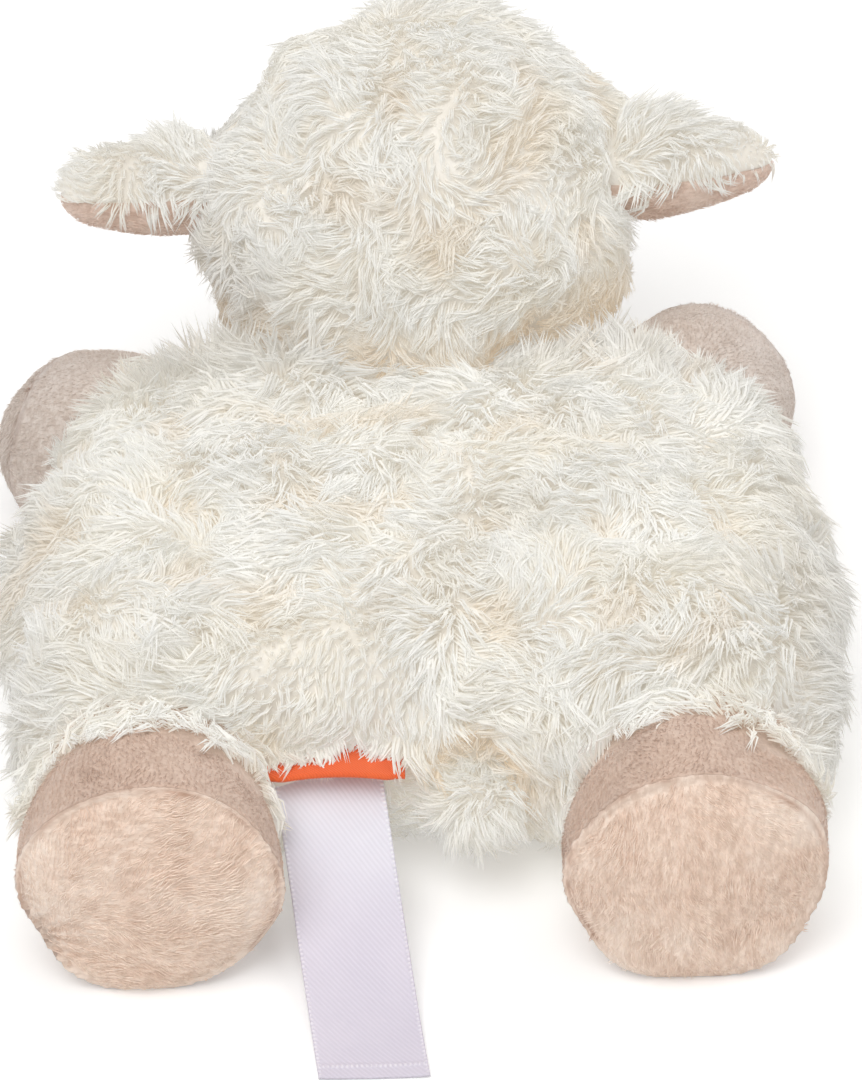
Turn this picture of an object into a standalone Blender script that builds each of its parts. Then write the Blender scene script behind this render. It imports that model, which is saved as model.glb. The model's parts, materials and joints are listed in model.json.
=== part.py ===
# Plush sheep lying on its belly: sewn skins over stuffing, with limbs that swing in their seams.
# Metres, +Z up. The sheep faces -Y, its left side is +X, and the origin is the middle of the belly.

import math

import bmesh
import bpy
from mathutils import Matrix, Vector

# Cloth, stuffing and clearances shared by every piece
SKIN = 0.0018
GAP = 0.0003
STUFFING_GAP = 0.0004
POCKET_GAP = 0.0008
FLAT_DEPTH = 0.0005
OVERRUN = 0.04

# Body
BODY_HALF_WIDTH = 0.1135
BODY_FRONT_REACH = 0.086
BODY_REAR_REACH = 0.072
BODY_WIDEST_HEIGHT = 0.036
BODY_TOP_HEIGHT = 0.080
PLAN_SQUARENESS = 4.2
SIDE_SQUARENESS = 2.5
BELLY_FLATNESS = 0.62
HAUNCH_RADIUS = 0.042
HAUNCH_RISE = 0.046
HAUNCH_SIDE = 0.071
HAUNCH_BEHIND = 0.060
HAUNCH_BLEND = 6
SIDE_SEAM_HEIGHT = 0.040
BODY_CAGE_CUTS = 4

# Head and neck
HEAD_RADIUS = 0.063
HEAD_REACH = 0.119
HEAD_HEIGHT = 0.085
HEAD_SEGMENTS = 22
HEAD_RINGS = 16
MUZZLE_LENGTH = 0.014
MUZZLE_DROP_DEG = 20
MUZZLE_SPREAD_DEG = 29
MUZZLE_BLUNTNESS = 4
FACE_HALF_WIDTH = 0.041
FACE_HALF_HEIGHT = 0.047
FACE_DROP_DEG = 8
FACE_STEPS = 28
NECK_SLOPE_DEG = 37
NECK_OFFSET = 0.022
NECK_WAD_REACH = 0.048
NECK_WAD_DEG = 30
NECK_WAD_RINGS = 4
NECK_STEPS = 24
HOLLOW_RINGS = 10
HOLLOW_DEG = 100
NOD_SWING_DEG = 15

# Eyes, nose and mouth
EYE_RADIUS = 0.0055
EYE_HEIGHT = 0.0042
EYE_SIDE_DEG = 28
EYE_RISE_DEG = 14
EYE_STEPS = 12
EYE_RINGS = 4
SHANK_RADIUS = 0.002
SHANK_LENGTH = 0.009
WASHER_RADIUS = 0.0065
WASHER_THICKNESS = 0.0012
WASHER_SEAT = 0.0007
WASHER_CLEARANCE = 0.0002
NOSE_HALF_WIDTH = 0.0105
NOSE_HALF_HEIGHT = 0.007
NOSE_RISE = 0.008
NOSE_TAPER_SHARE = 0.25
NOSE_STEPS = 16
THREAD_HEIGHT = 0.0012
MOUTH_LINE = 0.0018
MOUTH_DROP = 0.006
MOUTH_HALF_WIDTH = 0.012
MOUTH_CURL = 0.005
MOUTH_STEPS = 10

# Ears
EAR_ROOT = 0.0145
EAR_SWELL = 0.0165
EAR_SWELL_PLACE = 0.013
EAR_LENGTH = 0.042
EAR_TIP = 0.0105
EAR_CROWN = 0.0075
EAR_OPENING = 0.004
EAR_FLATNESS_SHARE = 0.86
EAR_STEPS = 16
EAR_SIDE = 0.0555
EAR_BACK = 0.002
EAR_RISE = 0.017
EAR_TILT_DEG = 16
EAR_SWING_DEG = 20
EAR_DROOP_DEG = {"left": 4, "right": -3}

# Forelegs, each splayed out from straight ahead as it lies
FORELEG_ROOT = 0.022
FORELEG_SWELL = 0.030
FORELEG_SWELL_PLACE = 0.038
FORELEG_LENGTH = 0.057
FORELEG_SOLE = 0.025
FORELEG_CROWN = 0.012
FORELEG_SIDE = 0.0605
FORELEG_AHEAD = 0.062
FORELEG_SPLAY_DEG = {"left": 60, "right": 30}
FORELEG_SWING_DEG = 10

# Hind legs, their soles facing straight back
HINDLEG_ROOT = 0.030
HINDLEG_SWELL = 0.0352
HINDLEG_SWELL_PLACE = 0.026
HINDLEG_LENGTH = 0.038
HINDLEG_SOLE = 0.0346
HINDLEG_CROWN = 0.0075
HINDLEG_SIDE = 0.0742
HINDLEG_BEHIND = 0.078
HINDLEG_MEAN_DEG = 9
HINDLEG_SWING_DEG = 13

# Leg skins
SEAM_RIDGE = 0.0009
SEAM_ROLL = 0.002
ROOT_OPENING = 0.008
LEG_STEPS = 20
SIDE_RINGS = 3
BALL_RINGS = 3
POCKET_SIDE_RINGS = 3
POCKET_BALL_RINGS = 5
CROWN_SHARES = (0, 0.5, 0.82, 1)
CROWN_ROUNDNESS = 2.4

# Tail
TAIL_ROOT = 0.007
TAIL_SWELL = 0.0095
TAIL_SWELL_PLACE = 0.009
TAIL_LENGTH = 0.013
TAIL_TIP = 0.0085
TAIL_CROWN = 0.006
TAIL_OPENING = 0.003
TAIL_STEPS = 12
TAIL_SIDE = 0.015
TAIL_SEAT = 0.003
TAIL_HEIGHT = 0.034
TAIL_DROP_DEG = 35
TAIL_SWING_DEG = 15

# Woven tab and care label in the rear seam
TAB_WIDTH = 0.038
TAB_REACH = 0.009
TAB_FOLD = 0.0006
TAB_CLOTH = 0.0006
TAB_SIDE = 0.024
TAB_COLUMNS = 6
FOLD_ROWS = 4
SEAM_ARCH = 0.0015
SEAM_DEPTH = 0.006
LABEL_WIDTH = 0.030
LABEL_CLOTH = 0.0005
LABEL_SIDE = 0.0275
LABEL_REACH = 0.085
LABEL_DRIFT = 0.0135
LABEL_REST = 0.0002
LABEL_DROP_DEG = 28
LABEL_COLUMNS = 4
LABEL_ROWS = 14
ARCH_SHARE = 0.5

# Colours as linear red, green and blue
FUR_COLOUR = (0.86, 0.83, 0.76)
BEIGE_COLOUR = (0.72, 0.58, 0.48)
STUFFING_COLOUR = (0.88, 0.88, 0.86)
TAB_COLOUR = (0.95, 0.15, 0.03)
LABEL_COLOUR = (0.85, 0.83, 0.89)
EYE_COLOUR = (0.01, 0.008, 0.007)
WASHER_COLOUR = (0.8, 0.8, 0.8)
THREAD_COLOUR = (0.22, 0.12, 0.09)

# Places and limb sizes worked out from the values above
SIDES = {"left": 1, "right": -1}
UP = Vector((0, 0, 1))
NECK_SLOPE = math.radians(NECK_SLOPE_DEG)
NECK_DIRECTION = Vector((0, math.cos(NECK_SLOPE), -math.sin(NECK_SLOPE)))
HEAD_CENTRE = Vector((0, -HEAD_REACH, HEAD_HEIGHT))
NECK_PIVOT = HEAD_CENTRE + NECK_DIRECTION * NECK_OFFSET
FORELEG = {
    "root": FORELEG_ROOT,
    "swell": FORELEG_SWELL,
    "swell_place": FORELEG_SWELL_PLACE,
    "length": FORELEG_LENGTH,
    "end": FORELEG_SOLE,
    "crown": FORELEG_CROWN,
    "opening": ROOT_OPENING,
}
HINDLEG = {
    "root": HINDLEG_ROOT,
    "swell": HINDLEG_SWELL,
    "swell_place": HINDLEG_SWELL_PLACE,
    "length": HINDLEG_LENGTH,
    "end": HINDLEG_SOLE,
    "crown": HINDLEG_CROWN,
    "opening": ROOT_OPENING,
}
EAR = {
    "root": EAR_ROOT,
    "swell": EAR_SWELL,
    "swell_place": EAR_SWELL_PLACE,
    "length": EAR_LENGTH,
    "end": EAR_TIP,
    "crown": EAR_CROWN,
    "opening": EAR_OPENING,
}
TAIL = {
    "root": TAIL_ROOT,
    "swell": TAIL_SWELL,
    "swell_place": TAIL_SWELL_PLACE,
    "length": TAIL_LENGTH,
    "end": TAIL_TIP,
    "crown": TAIL_CROWN,
    "opening": TAIL_OPENING,
}


# Scene helpers
def clear_scene():
    for item in list(bpy.data.objects):
        bpy.data.objects.remove(item, do_unlink=True)


def make_collection(name):
    made = bpy.data.collections.new(name)
    bpy.context.scene.collection.children.link(made)
    return made


def make_material(name, colour, roughness):
    made = bpy.data.materials.new(name)
    made.use_nodes = True
    shader = made.node_tree.nodes["Principled BSDF"]
    shader.inputs["Base Color"].default_value = (*colour, 1)
    shader.inputs["Roughness"].default_value = roughness
    shader.inputs["Metallic"].default_value = 0
    made.diffuse_color = (*colour, 1)
    return made


def add_object(name, mesh, home, material, matrix):
    """Adds a mesh object; without a material it is a cutter."""
    made = bpy.data.objects.new(name, mesh)
    home.objects.link(made)
    made.matrix_world = matrix
    if material:
        mesh.materials.append(material)
        mesh.shade_smooth()
    else:
        made.hide_render = True
        made.display_type = "WIRE"
    return made


def mesh_from(bm, name):
    mesh = bpy.data.meshes.new(name)
    bm.to_mesh(mesh)
    bm.free()
    return mesh


# Modifiers
def combine(target, cutter, operation):
    step = target.modifiers.new(operation.lower(), "BOOLEAN")
    step.operation = operation
    step.solver = "EXACT"
    step.object = cutter


def cut(target, *cutters):
    for cutter in cutters:
        combine(target, cutter, "DIFFERENCE")


def keep_inside(target, cutter):
    combine(target, cutter, "INTERSECT")


def thicken(target, thickness, offset):
    step = target.modifiers.new("cloth", "SOLIDIFY")
    step.thickness = thickness
    step.offset = offset
    step.use_even_offset = True


def split_facets(target):
    """Splits each face the same way, so skin and stuffing stay alike."""
    step = target.modifiers.new("facets", "TRIANGULATE")
    step.quad_method = "FIXED"


def grow(target, distance):
    step = target.modifiers.new("grow", "DISPLACE")
    step.strength = distance
    step.mid_level = 0


# Basic shapes
def block(name, low, high, home, matrix=Matrix()):
    bm = bmesh.new()
    bmesh.ops.create_cube(bm, size=1)
    size = Vector(high) - Vector(low)
    middle = (Vector(high) + Vector(low)) / 2
    place = Matrix.Translation(middle) @ Matrix.Diagonal((*size, 1))
    bmesh.ops.transform(bm, matrix=place, verts=bm.verts)
    return add_object(name, mesh_from(bm, name), home, None, matrix)


def prism(name, outline, low, high, home, matrix):
    """A flat outline, counter-clockwise from above, extruded from low to high along local Z."""
    bm = bmesh.new()
    base = bm.faces.new([bm.verts.new((x, y, low)) for x, y in outline])
    top = bmesh.ops.extrude_face_region(bm, geom=[base])
    raised = [item for item in top["geom"] if isinstance(item, bmesh.types.BMVert)]
    bmesh.ops.translate(bm, vec=(0, 0, high - low), verts=raised)
    bmesh.ops.recalc_face_normals(bm, faces=bm.faces)
    return add_object(name, mesh_from(bm, name), home, None, matrix)


def turned(name, profile, steps, home, material, matrix, closed=False):
    """A solid turned about local Z, from (radius, height) points down its outer side."""
    bm = bmesh.new()
    points = [bm.verts.new((radius, 0, height)) for radius, height in profile]
    for here, there in zip(points, points[1:]):
        bm.edges.new((here, there))
    if closed:
        bm.edges.new((points[-1], points[0]))
    made = add_object(name, mesh_from(bm, name), home, material, matrix)
    screw = made.modifiers.new("turn", "SCREW")
    screw.steps = steps
    screw.render_steps = steps
    screw.use_merge_vertices = True
    screw.merge_threshold = GAP / steps
    screw.use_smooth_shade = True
    return made


def facing(direction, place, across=UP):
    """A frame at place with local Z along direction and local X as near to across as it can be."""
    ahead = Vector(direction).normalized()
    side = (across - ahead * across.dot(ahead)).normalized()
    turn = Matrix((side, ahead.cross(side), ahead)).transposed()
    return Matrix.Translation(place) @ turn.to_4x4()


# Body form
def body_point(corner):
    """Where a point of the unit cube's surface lies on the rounded loaf of the body."""
    x, y, z = (abs(value) for value in corner)
    plan = (x**PLAN_SQUARENESS + y**PLAN_SQUARENESS) ** (1 / PLAN_SQUARENESS)
    pull = (plan**SIDE_SQUARENESS + z**SIDE_SQUARENESS) ** (-1 / SIDE_SQUARENESS)
    x, y, z = (value * pull for value in corner)
    rise = BODY_TOP_HEIGHT - BODY_WIDEST_HEIGHT
    drop = BODY_WIDEST_HEIGHT + FLAT_DEPTH
    height = z * rise if z > 0 else -(abs(z) ** BELLY_FLATNESS) * drop
    long = BODY_REAR_REACH if y > 0 else BODY_FRONT_REACH
    return Vector((x * BODY_HALF_WIDTH, y * long, BODY_WIDEST_HEIGHT + height))


def swell_haunch(point):
    """Pushes a point of the body out towards the surface of the haunch that it lies in."""
    side = math.copysign(HAUNCH_SIDE, point.x)
    centre = Vector((side, HAUNCH_BEHIND, BODY_WIDEST_HEIGHT))
    offset = point - centre
    tall = HAUNCH_RISE if offset.z > 0 else BODY_WIDEST_HEIGHT + FLAT_DEPTH
    scaled = (offset.x / HAUNCH_RADIUS, offset.y / HAUNCH_RADIUS, offset.z / tall)
    reach = Vector(scaled).length
    blended = (1 + reach**HAUNCH_BLEND) ** (1 / HAUNCH_BLEND)
    return centre + offset * (blended / reach)


def body_form(name, home, material=None):
    bm = bmesh.new()
    bmesh.ops.create_cube(bm, size=2)
    bmesh.ops.subdivide_edges(bm, edges=bm.edges, cuts=BODY_CAGE_CUTS, use_grid_fill=True)
    for vert in bm.verts:
        vert.co = swell_haunch(body_point(vert.co))
    made = add_object(name, mesh_from(bm, name), home, material, Matrix())
    smooth = made.modifiers.new("smooth", "SUBSURF")
    smooth.levels = 1
    smooth.render_levels = 1
    split_facets(made)
    return made


# Head form
def head_radius(direction):
    drop = math.radians(MUZZLE_DROP_DEG)
    muzzle = Vector((0, -math.cos(drop), -math.sin(drop)))
    away = direction.angle(muzzle) / math.radians(MUZZLE_SPREAD_DEG)
    return HEAD_RADIUS + MUZZLE_LENGTH * math.exp(-(away**MUZZLE_BLUNTNESS))


def head_form(name, home, material=None):
    bm = bmesh.new()
    lying = Matrix.Rotation(math.pi / 2, 4, "X")
    bmesh.ops.create_uvsphere(
        bm, u_segments=HEAD_SEGMENTS, v_segments=HEAD_RINGS, radius=1, matrix=lying
    )
    for vert in bm.verts:
        direction = vert.co.normalized()
        vert.co = direction * head_radius(direction)
    place = Matrix.Translation(HEAD_CENTRE)
    made = add_object(name, mesh_from(bm, name), home, material, place)
    split_facets(made)
    return made


def face_point(side_deg, rise_deg):
    side, rise = math.radians(side_deg), math.radians(rise_deg)
    level = math.cos(rise)
    direction = Vector((math.sin(side) * level, -math.cos(side) * level, math.sin(rise)))
    return HEAD_CENTRE + direction * head_radius(direction)


def head_spot(side_deg, rise_deg):
    """A frame on the face with local Z square to its surface and local X across it."""
    place = face_point(side_deg, rise_deg)
    across = face_point(side_deg + 1, rise_deg) - face_point(side_deg - 1, rise_deg)
    upward = face_point(side_deg, rise_deg + 1) - face_point(side_deg, rise_deg - 1)
    return facing(across.cross(upward), place, Vector((1, 0, 0)))


# Limb outlines, as (radius, height) from the pivot along the limb
def side_radius(limb, height):
    if height <= limb["swell_place"]:
        share = height / limb["swell_place"]
        return limb["root"] + (limb["swell"] - limb["root"]) * share**2 * (3 - 2 * share)
    past = (height - limb["swell_place"]) / (limb["length"] - limb["swell_place"])
    return limb["swell"] - (limb["swell"] - limb["end"]) * past**2


def side_points(limb, inset, rings, top=None):
    """Down the limb's side to the widest ring of its root ball."""
    top = limb["length"] if top is None else top
    heights = [top * (1 - ring / rings) for ring in range(rings + 1)]
    return [(side_radius(limb, height) - inset, height) for height in heights]


def ball_points(radius, last_deg, rings):
    """Round the root ball, from just past its widest ring."""
    angles = [math.radians(last_deg * (ring + 1) / rings) for ring in range(rings)]
    return [(radius * math.cos(angle), -radius * math.sin(angle)) for angle in angles]


def dome_points(radius, base, crown, shares=CROWN_SHARES):
    return [(radius * share, base + crown * (1 - share**CROWN_ROUNDNESS)) for share in shares]


def opening_deg(limb):
    """How far round the root ball its cloth reaches, to the hole that it is turned and filled by."""
    return math.degrees(math.acos(limb["opening"] / limb["root"]))


def sleeve_profile(limb):
    """A cloth tube that is open at the sole and at the back of its root ball."""
    seam = [(limb["end"] + SEAM_RIDGE, limb["length"])]
    last = opening_deg(limb)
    outer = side_points(limb, 0, SIDE_RINGS, limb["length"] - SEAM_ROLL)
    outer += ball_points(limb["root"], last, BALL_RINGS)
    inner = side_points(limb, SKIN, SIDE_RINGS)
    inner += ball_points(limb["root"] - SKIN, last, BALL_RINGS)
    return seam + outer + inner[::-1]


def sole_profile(limb):
    """A domed disc whose rim is rolled out to the sleeve's seam."""
    base = limb["length"] + GAP
    outer = dome_points(limb["end"] + SEAM_RIDGE, base, limb["crown"])
    inner = dome_points(limb["end"] - SKIN, base, limb["crown"] - SKIN)
    return outer + inner[::-1]


def limb_outline(limb, inset):
    """From the middle of the limb's far end to the hole in its root ball, drawn in by inset."""
    crown = limb["crown"] - inset
    dome = dome_points(limb["end"] - inset, limb["length"], crown, CROWN_SHARES[:-1])
    ball = ball_points(limb["root"] - inset, opening_deg(limb), BALL_RINGS)
    return dome + side_points(limb, inset, SIDE_RINGS) + ball


def filled_profile(limb, inset):
    return limb_outline(limb, inset) + [(0, inset - limb["root"])]


def shell_profile(limb):
    """The whole limb as cloth, open only at the back of its root ball."""
    return limb_outline(limb, 0) + limb_outline(limb, SKIN)[::-1]


def pocket_profile(limb, swing_deg):
    """The space that the limb sweeps as it swings, with running room round it."""
    swing = math.radians(swing_deg)
    points = []
    for radius, height in side_points(limb, -POCKET_GAP, POCKET_SIDE_RINGS):
        reach, angle = math.hypot(radius, height), math.atan2(radius, height) + swing
        points.append((reach * math.sin(angle), reach * math.cos(angle)))
    ball = ball_points(limb["root"] + POCKET_GAP, 90, POCKET_BALL_RINGS)
    below = [point for point in ball if point[1] < points[-1][1]]
    mouth = (points[0][0], points[0][1] + OVERRUN)
    return [(0, mouth[1]), mouth, *points, *below]


# Stuffed legs
def foreleg_frame(side):
    """The pivot and heading of a foreleg as it lies."""
    splay = math.radians(FORELEG_SPLAY_DEG[side])
    sign = SIDES[side]
    heading = Vector((sign * math.sin(splay), -math.cos(splay), 0))
    height = FORELEG_SWELL - FLAT_DEPTH
    return facing(heading, Vector((sign * FORELEG_SIDE, -FORELEG_AHEAD, height)))


def hindleg_frame(side, lift_deg=0):
    lift = math.radians(lift_deg)
    heading = Vector((0, math.cos(lift), math.sin(lift)))
    height = HINDLEG_SWELL - FLAT_DEPTH
    return facing(heading, Vector((SIDES[side] * HINDLEG_SIDE, HINDLEG_BEHIND, height)))


def build_leg(name, limb, frame, parts, materials, table):
    """A sleeve with a root ball, a domed sole and the stuffing that fills them."""
    tube, disc = sleeve_profile(limb), sole_profile(limb)
    filling = filled_profile(limb, SKIN + STUFFING_GAP)
    sleeve = turned(f"{name}_sleeve", tube, LEG_STEPS, parts, materials["beige"], frame, True)
    sole = turned(f"{name}_sole", disc, LEG_STEPS, parts, materials["sole"], frame)
    turned(f"{name}_stuffing", filling, LEG_STEPS, parts, materials["stuffing"], frame)
    cut(sleeve, table)
    cut(sole, table)


def build_legs(parts, cutters, materials, table):
    """All four legs, and the pockets that they swing in."""
    pockets = []
    for side in SIDES:
        frame = foreleg_frame(side)
        build_leg(f"foreleg_{side}", FORELEG, frame, parts, materials, table)
        swept = pocket_profile(FORELEG, FORELEG_SWING_DEG)
        pocket = f"foreleg_{side}_pocket"
        pockets.append(turned(pocket, swept, LEG_STEPS, cutters, None, frame))
        build_leg(f"hindleg_{side}", HINDLEG, hindleg_frame(side), parts, materials, table)
        swept = pocket_profile(HINDLEG, HINDLEG_SWING_DEG)
        frame = hindleg_frame(side, HINDLEG_MEAN_DEG)
        pocket = f"hindleg_{side}_pocket"
        pockets.append(turned(pocket, swept, LEG_STEPS, cutters, None, frame))
    return pockets


# Tail
def build_tail(parts, cutters, materials):
    drop = math.radians(TAIL_DROP_DEG)
    heading = Vector((0, math.cos(drop), -math.sin(drop)))
    frame = facing(heading, Vector((-TAIL_SIDE, BODY_REAR_REACH - TAIL_SEAT, TAIL_HEIGHT)))
    skin = shell_profile(TAIL)
    turned("tail_skin", skin, TAIL_STEPS, parts, materials["fur"], frame)
    filling = filled_profile(TAIL, SKIN + STUFFING_GAP)
    turned("tail_stuffing", filling, TAIL_STEPS, parts, materials["stuffing"], frame)
    swept = pocket_profile(TAIL, TAIL_SWING_DEG)
    return turned("tail_pocket", swept, TAIL_STEPS, cutters, None, frame)


# Neck
def build_neck(parts, cutters, materials):
    """The wad of stuffing in the neck, and the hollow that the head nods in."""
    frame = facing(NECK_DIRECTION, NECK_PIVOT)
    rim = math.radians(NECK_WAD_DEG)
    shares = [ring / NECK_WAD_RINGS for ring in range(NECK_WAD_RINGS + 1)]
    outer = [rim * share for share in shares]
    back = [(NECK_WAD_REACH * math.sin(a), NECK_WAD_REACH * math.cos(a)) for a in outer]
    hollow = HEAD_RADIUS + POCKET_GAP
    inner_rim = math.asin(NECK_WAD_REACH * math.sin(rim) / hollow)
    inner = [inner_rim * (1 - share) for share in shares]
    front = [(hollow * math.sin(a), hollow * math.cos(a) - NECK_OFFSET) for a in inner]
    turned("neck_wad", back + front, NECK_STEPS, parts, materials["stuffing"], frame)

    points = []
    for ring in range(HOLLOW_RINGS + 1):
        angle = math.radians(HOLLOW_DEG * ring / HOLLOW_RINGS)
        swept = math.pi - angle - math.radians(NOD_SWING_DEG)
        aside = NECK_OFFSET * math.sin(swept)
        reach = NECK_OFFSET * math.cos(swept) + math.sqrt(HEAD_RADIUS**2 - aside**2)
        reach = max(reach, NECK_WAD_REACH) + POCKET_GAP
        points.append((reach * math.sin(angle), reach * math.cos(angle)))
    mouth = (points[-1][0], points[-1][1] - OVERRUN)
    outline = [*points, mouth, (0, mouth[1])]
    return turned("neck_hollow", outline, NECK_STEPS, cutters, None, frame)


# Body
def build_body(parts, cutters, materials, pockets):
    """Two back panels and a belly panel sewn round the stuffing."""
    wide = BODY_HALF_WIDTH + OVERRUN
    long = BODY_FRONT_REACH + OVERRUN
    top = BODY_TOP_HEIGHT + OVERRUN
    edge = GAP / 2
    above = SIDE_SEAM_HEIGHT + edge
    below = SIDE_SEAM_HEIGHT - edge
    regions = {
        "back_left_panel": block("left_half", (edge, -long, above), (wide, long, top), cutters),
        "back_right_panel": block("right_half", (-wide, -long, above), (-edge, long, top), cutters),
        "belly_panel": block("lower_half", (-wide, -long, 0), (wide, long, below), cutters),
    }
    inside = body_form("body_inside", cutters)
    grow(inside, -SKIN)
    for name, region in regions.items():
        panel = body_form(name, parts, materials["fur"])
        keep_inside(panel, region)
        cut(panel, inside, *pockets)
    stuffing = body_form("body_stuffing", parts, materials["stuffing"])
    grow(stuffing, -SKIN - STUFFING_GAP)
    cut(stuffing, *pockets)


# Ears
def build_ears(parts, cutters, materials):
    """Fur on the upper side of each ear and short pile below, sewn round the edge."""
    pockets = []
    tilt = math.radians(EAR_TILT_DEG)
    chord = Vector((0, math.cos(tilt), math.sin(tilt)))
    for side, sign in SIDES.items():
        droop = math.radians(EAR_DROOP_DEG[side])
        heading = Vector((sign * math.cos(droop), 0, -math.sin(droop)))
        place = HEAD_CENTRE + Vector((sign * EAR_SIDE, EAR_BACK, EAR_RISE))
        frame = facing(heading, place, chord)
        squeezed = frame @ Matrix.Diagonal((1, EAR_FLATNESS_SHARE, 1, 1))
        reach = EAR_LENGTH + OVERRUN
        over = (-OVERRUN, GAP / 2 if sign > 0 else -OVERRUN, -OVERRUN)
        above = (OVERRUN, OVERRUN if sign > 0 else -GAP / 2, reach)
        under = (-OVERRUN, -OVERRUN if sign > 0 else GAP / 2, -OVERRUN)
        below = (OVERRUN, -GAP / 2 if sign > 0 else OVERRUN, reach)
        halves = {
            "back": (block(f"ear_{side}_upper", over, above, cutters, frame), "fur"),
            "lining": (block(f"ear_{side}_lower", under, below, cutters, frame), "beige"),
        }
        for half, (region, cloth) in halves.items():
            name = f"ear_{side}_{half}"
            outline = filled_profile(EAR, 0)
            panel = turned(name, outline, EAR_STEPS, parts, materials[cloth], squeezed)
            keep_inside(panel, region)
        swept = pocket_profile(EAR, EAR_SWING_DEG)
        pockets.append(turned(f"ear_{side}_pocket", swept, EAR_STEPS, cutters, None, frame))
    return pockets


# Eyes
def build_eyes(parts, cutters, materials):
    """Dome eyes whose shanks pass through the face to a washer behind it."""
    holes, recesses = [], []
    turns = [math.pi / 2 * ring / EYE_RINGS for ring in range(EYE_RINGS + 1)]
    dome = [(EYE_RADIUS * math.sin(turn), GAP + EYE_HEIGHT * math.cos(turn)) for turn in turns]
    shank = [(SHANK_RADIUS, GAP), (SHANK_RADIUS, -SHANK_LENGTH), (0, -SHANK_LENGTH)]
    upper = -SKIN - WASHER_SEAT
    lower = upper - WASHER_THICKNESS
    bore = SHANK_RADIUS + WASHER_CLEARANCE
    ring = [(WASHER_RADIUS, upper), (WASHER_RADIUS, lower), (bore, lower), (bore, upper)]
    hole = SHANK_RADIUS + GAP
    seat = EYE_RADIUS + GAP
    wide = WASHER_RADIUS + GAP
    deep = lower - GAP
    through = [(0, EYE_HEIGHT), (seat, EYE_HEIGHT), (seat, 0), (hole, 0), (hole, upper + GAP)]
    through += [(wide, upper + GAP), (wide, deep), (0, deep)]
    recess = [
        (0, EYE_HEIGHT),
        (wide, EYE_HEIGHT),
        (wide, deep),
        (hole, deep),
        (hole, -SHANK_LENGTH - GAP),
        (0, -SHANK_LENGTH - GAP),
    ]
    for side, sign in SIDES.items():
        frame = head_spot(sign * EYE_SIDE_DEG, EYE_RISE_DEG)
        turned(f"eye_{side}", dome + shank, EYE_STEPS, parts, materials["eye"], frame)
        name = f"eye_{side}_washer"
        turned(name, ring, EYE_STEPS, parts, materials["washer"], frame, True)
        holes.append(turned(f"eye_{side}_hole", through, EYE_STEPS, cutters, None, frame))
        recesses.append(turned(f"eye_{side}_recess", recess, EYE_STEPS, cutters, None, frame))
    return holes, recesses


# Head
def ellipse(half_width, half_height, steps):
    turns = [2 * math.pi * step / steps for step in range(steps)]
    return [(half_width * math.cos(turn), half_height * math.sin(turn)) for turn in turns]


def build_head(parts, cutters, materials, ear_pockets, holes, recesses):
    """A fur hood and a short pile face sewn round the stuffing."""
    drop = math.radians(FACE_DROP_DEG)
    ahead = Vector((0, -math.cos(drop), -math.sin(drop)))
    frame = facing(ahead, HEAD_CENTRE, Vector((1, 0, 0)))
    reach = HEAD_RADIUS + MUZZLE_LENGTH + OVERRUN
    opening = ellipse(FACE_HALF_WIDTH, FACE_HALF_HEIGHT, FACE_STEPS)
    opening = prism("face_opening", opening, 0, reach, cutters, frame)
    outline = ellipse(FACE_HALF_WIDTH - GAP, FACE_HALF_HEIGHT - GAP, FACE_STEPS)
    outline = prism("face_outline", outline, 0, reach, cutters, frame)
    inside = head_form("head_inside", cutters)
    grow(inside, -SKIN)

    hood = head_form("head_hood", parts, materials["fur"])
    cut(hood, opening, inside, *ear_pockets)
    face = head_form("face_panel", parts, materials["beige"])
    keep_inside(face, outline)
    cut(face, inside, *holes)
    stuffing = head_form("head_stuffing", parts, materials["stuffing"])
    grow(stuffing, -SKIN - STUFFING_GAP)
    cut(stuffing, *ear_pockets, *recesses)


def embroider(name, outline, frame, parts, cutters, materials):
    """A pad of thread that follows the face inside an outline."""
    reach = HEAD_RADIUS + MUZZLE_LENGTH
    shape = prism(f"{name}_outline", outline, -reach / 2, reach, cutters, frame)
    pad = head_form(name, parts, materials["thread"])
    grow(pad, GAP)
    thicken(pad, THREAD_HEIGHT, 1)
    keep_inside(pad, shape)


def build_muzzle(parts, cutters, materials):
    """An embroidered nose, wider at its top, over a curved mouth line."""
    frame = head_spot(0, -MUZZLE_DROP_DEG)
    taper = NOSE_TAPER_SHARE / NOSE_HALF_HEIGHT
    round_points = ellipse(NOSE_HALF_WIDTH, NOSE_HALF_HEIGHT, NOSE_STEPS)
    nose = [(x * (1 + y * taper), y + NOSE_RISE) for x, y in round_points]
    embroider("nose", nose, frame, parts, cutters, materials)
    shares = [2 * step / MOUTH_STEPS - 1 for step in range(MOUTH_STEPS + 1)]
    middle = [(MOUTH_HALF_WIDTH * share, MOUTH_CURL * share**2 - MOUTH_DROP) for share in shares]
    half = MOUTH_LINE / 2
    line = [(x, y - half) for x, y in middle] + [(x, y + half) for x, y in middle[::-1]]
    embroider("mouth_stitches", line, frame, parts, cutters, materials)


# Tab and label
def strip(name, columns, rows, place, thickness, parts, material):
    """A woven strip whose points are placed by their column and row."""
    bm = bmesh.new()
    bmesh.ops.create_grid(bm, x_segments=columns, y_segments=rows, size=1)
    for vert in bm.verts:
        vert.co = place(vert.co.x, (vert.co.y + 1) / 2 * rows)
    made = add_object(name, mesh_from(bm, name), parts, material, Matrix())
    thicken(made, thickness, 0)
    return made


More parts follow.
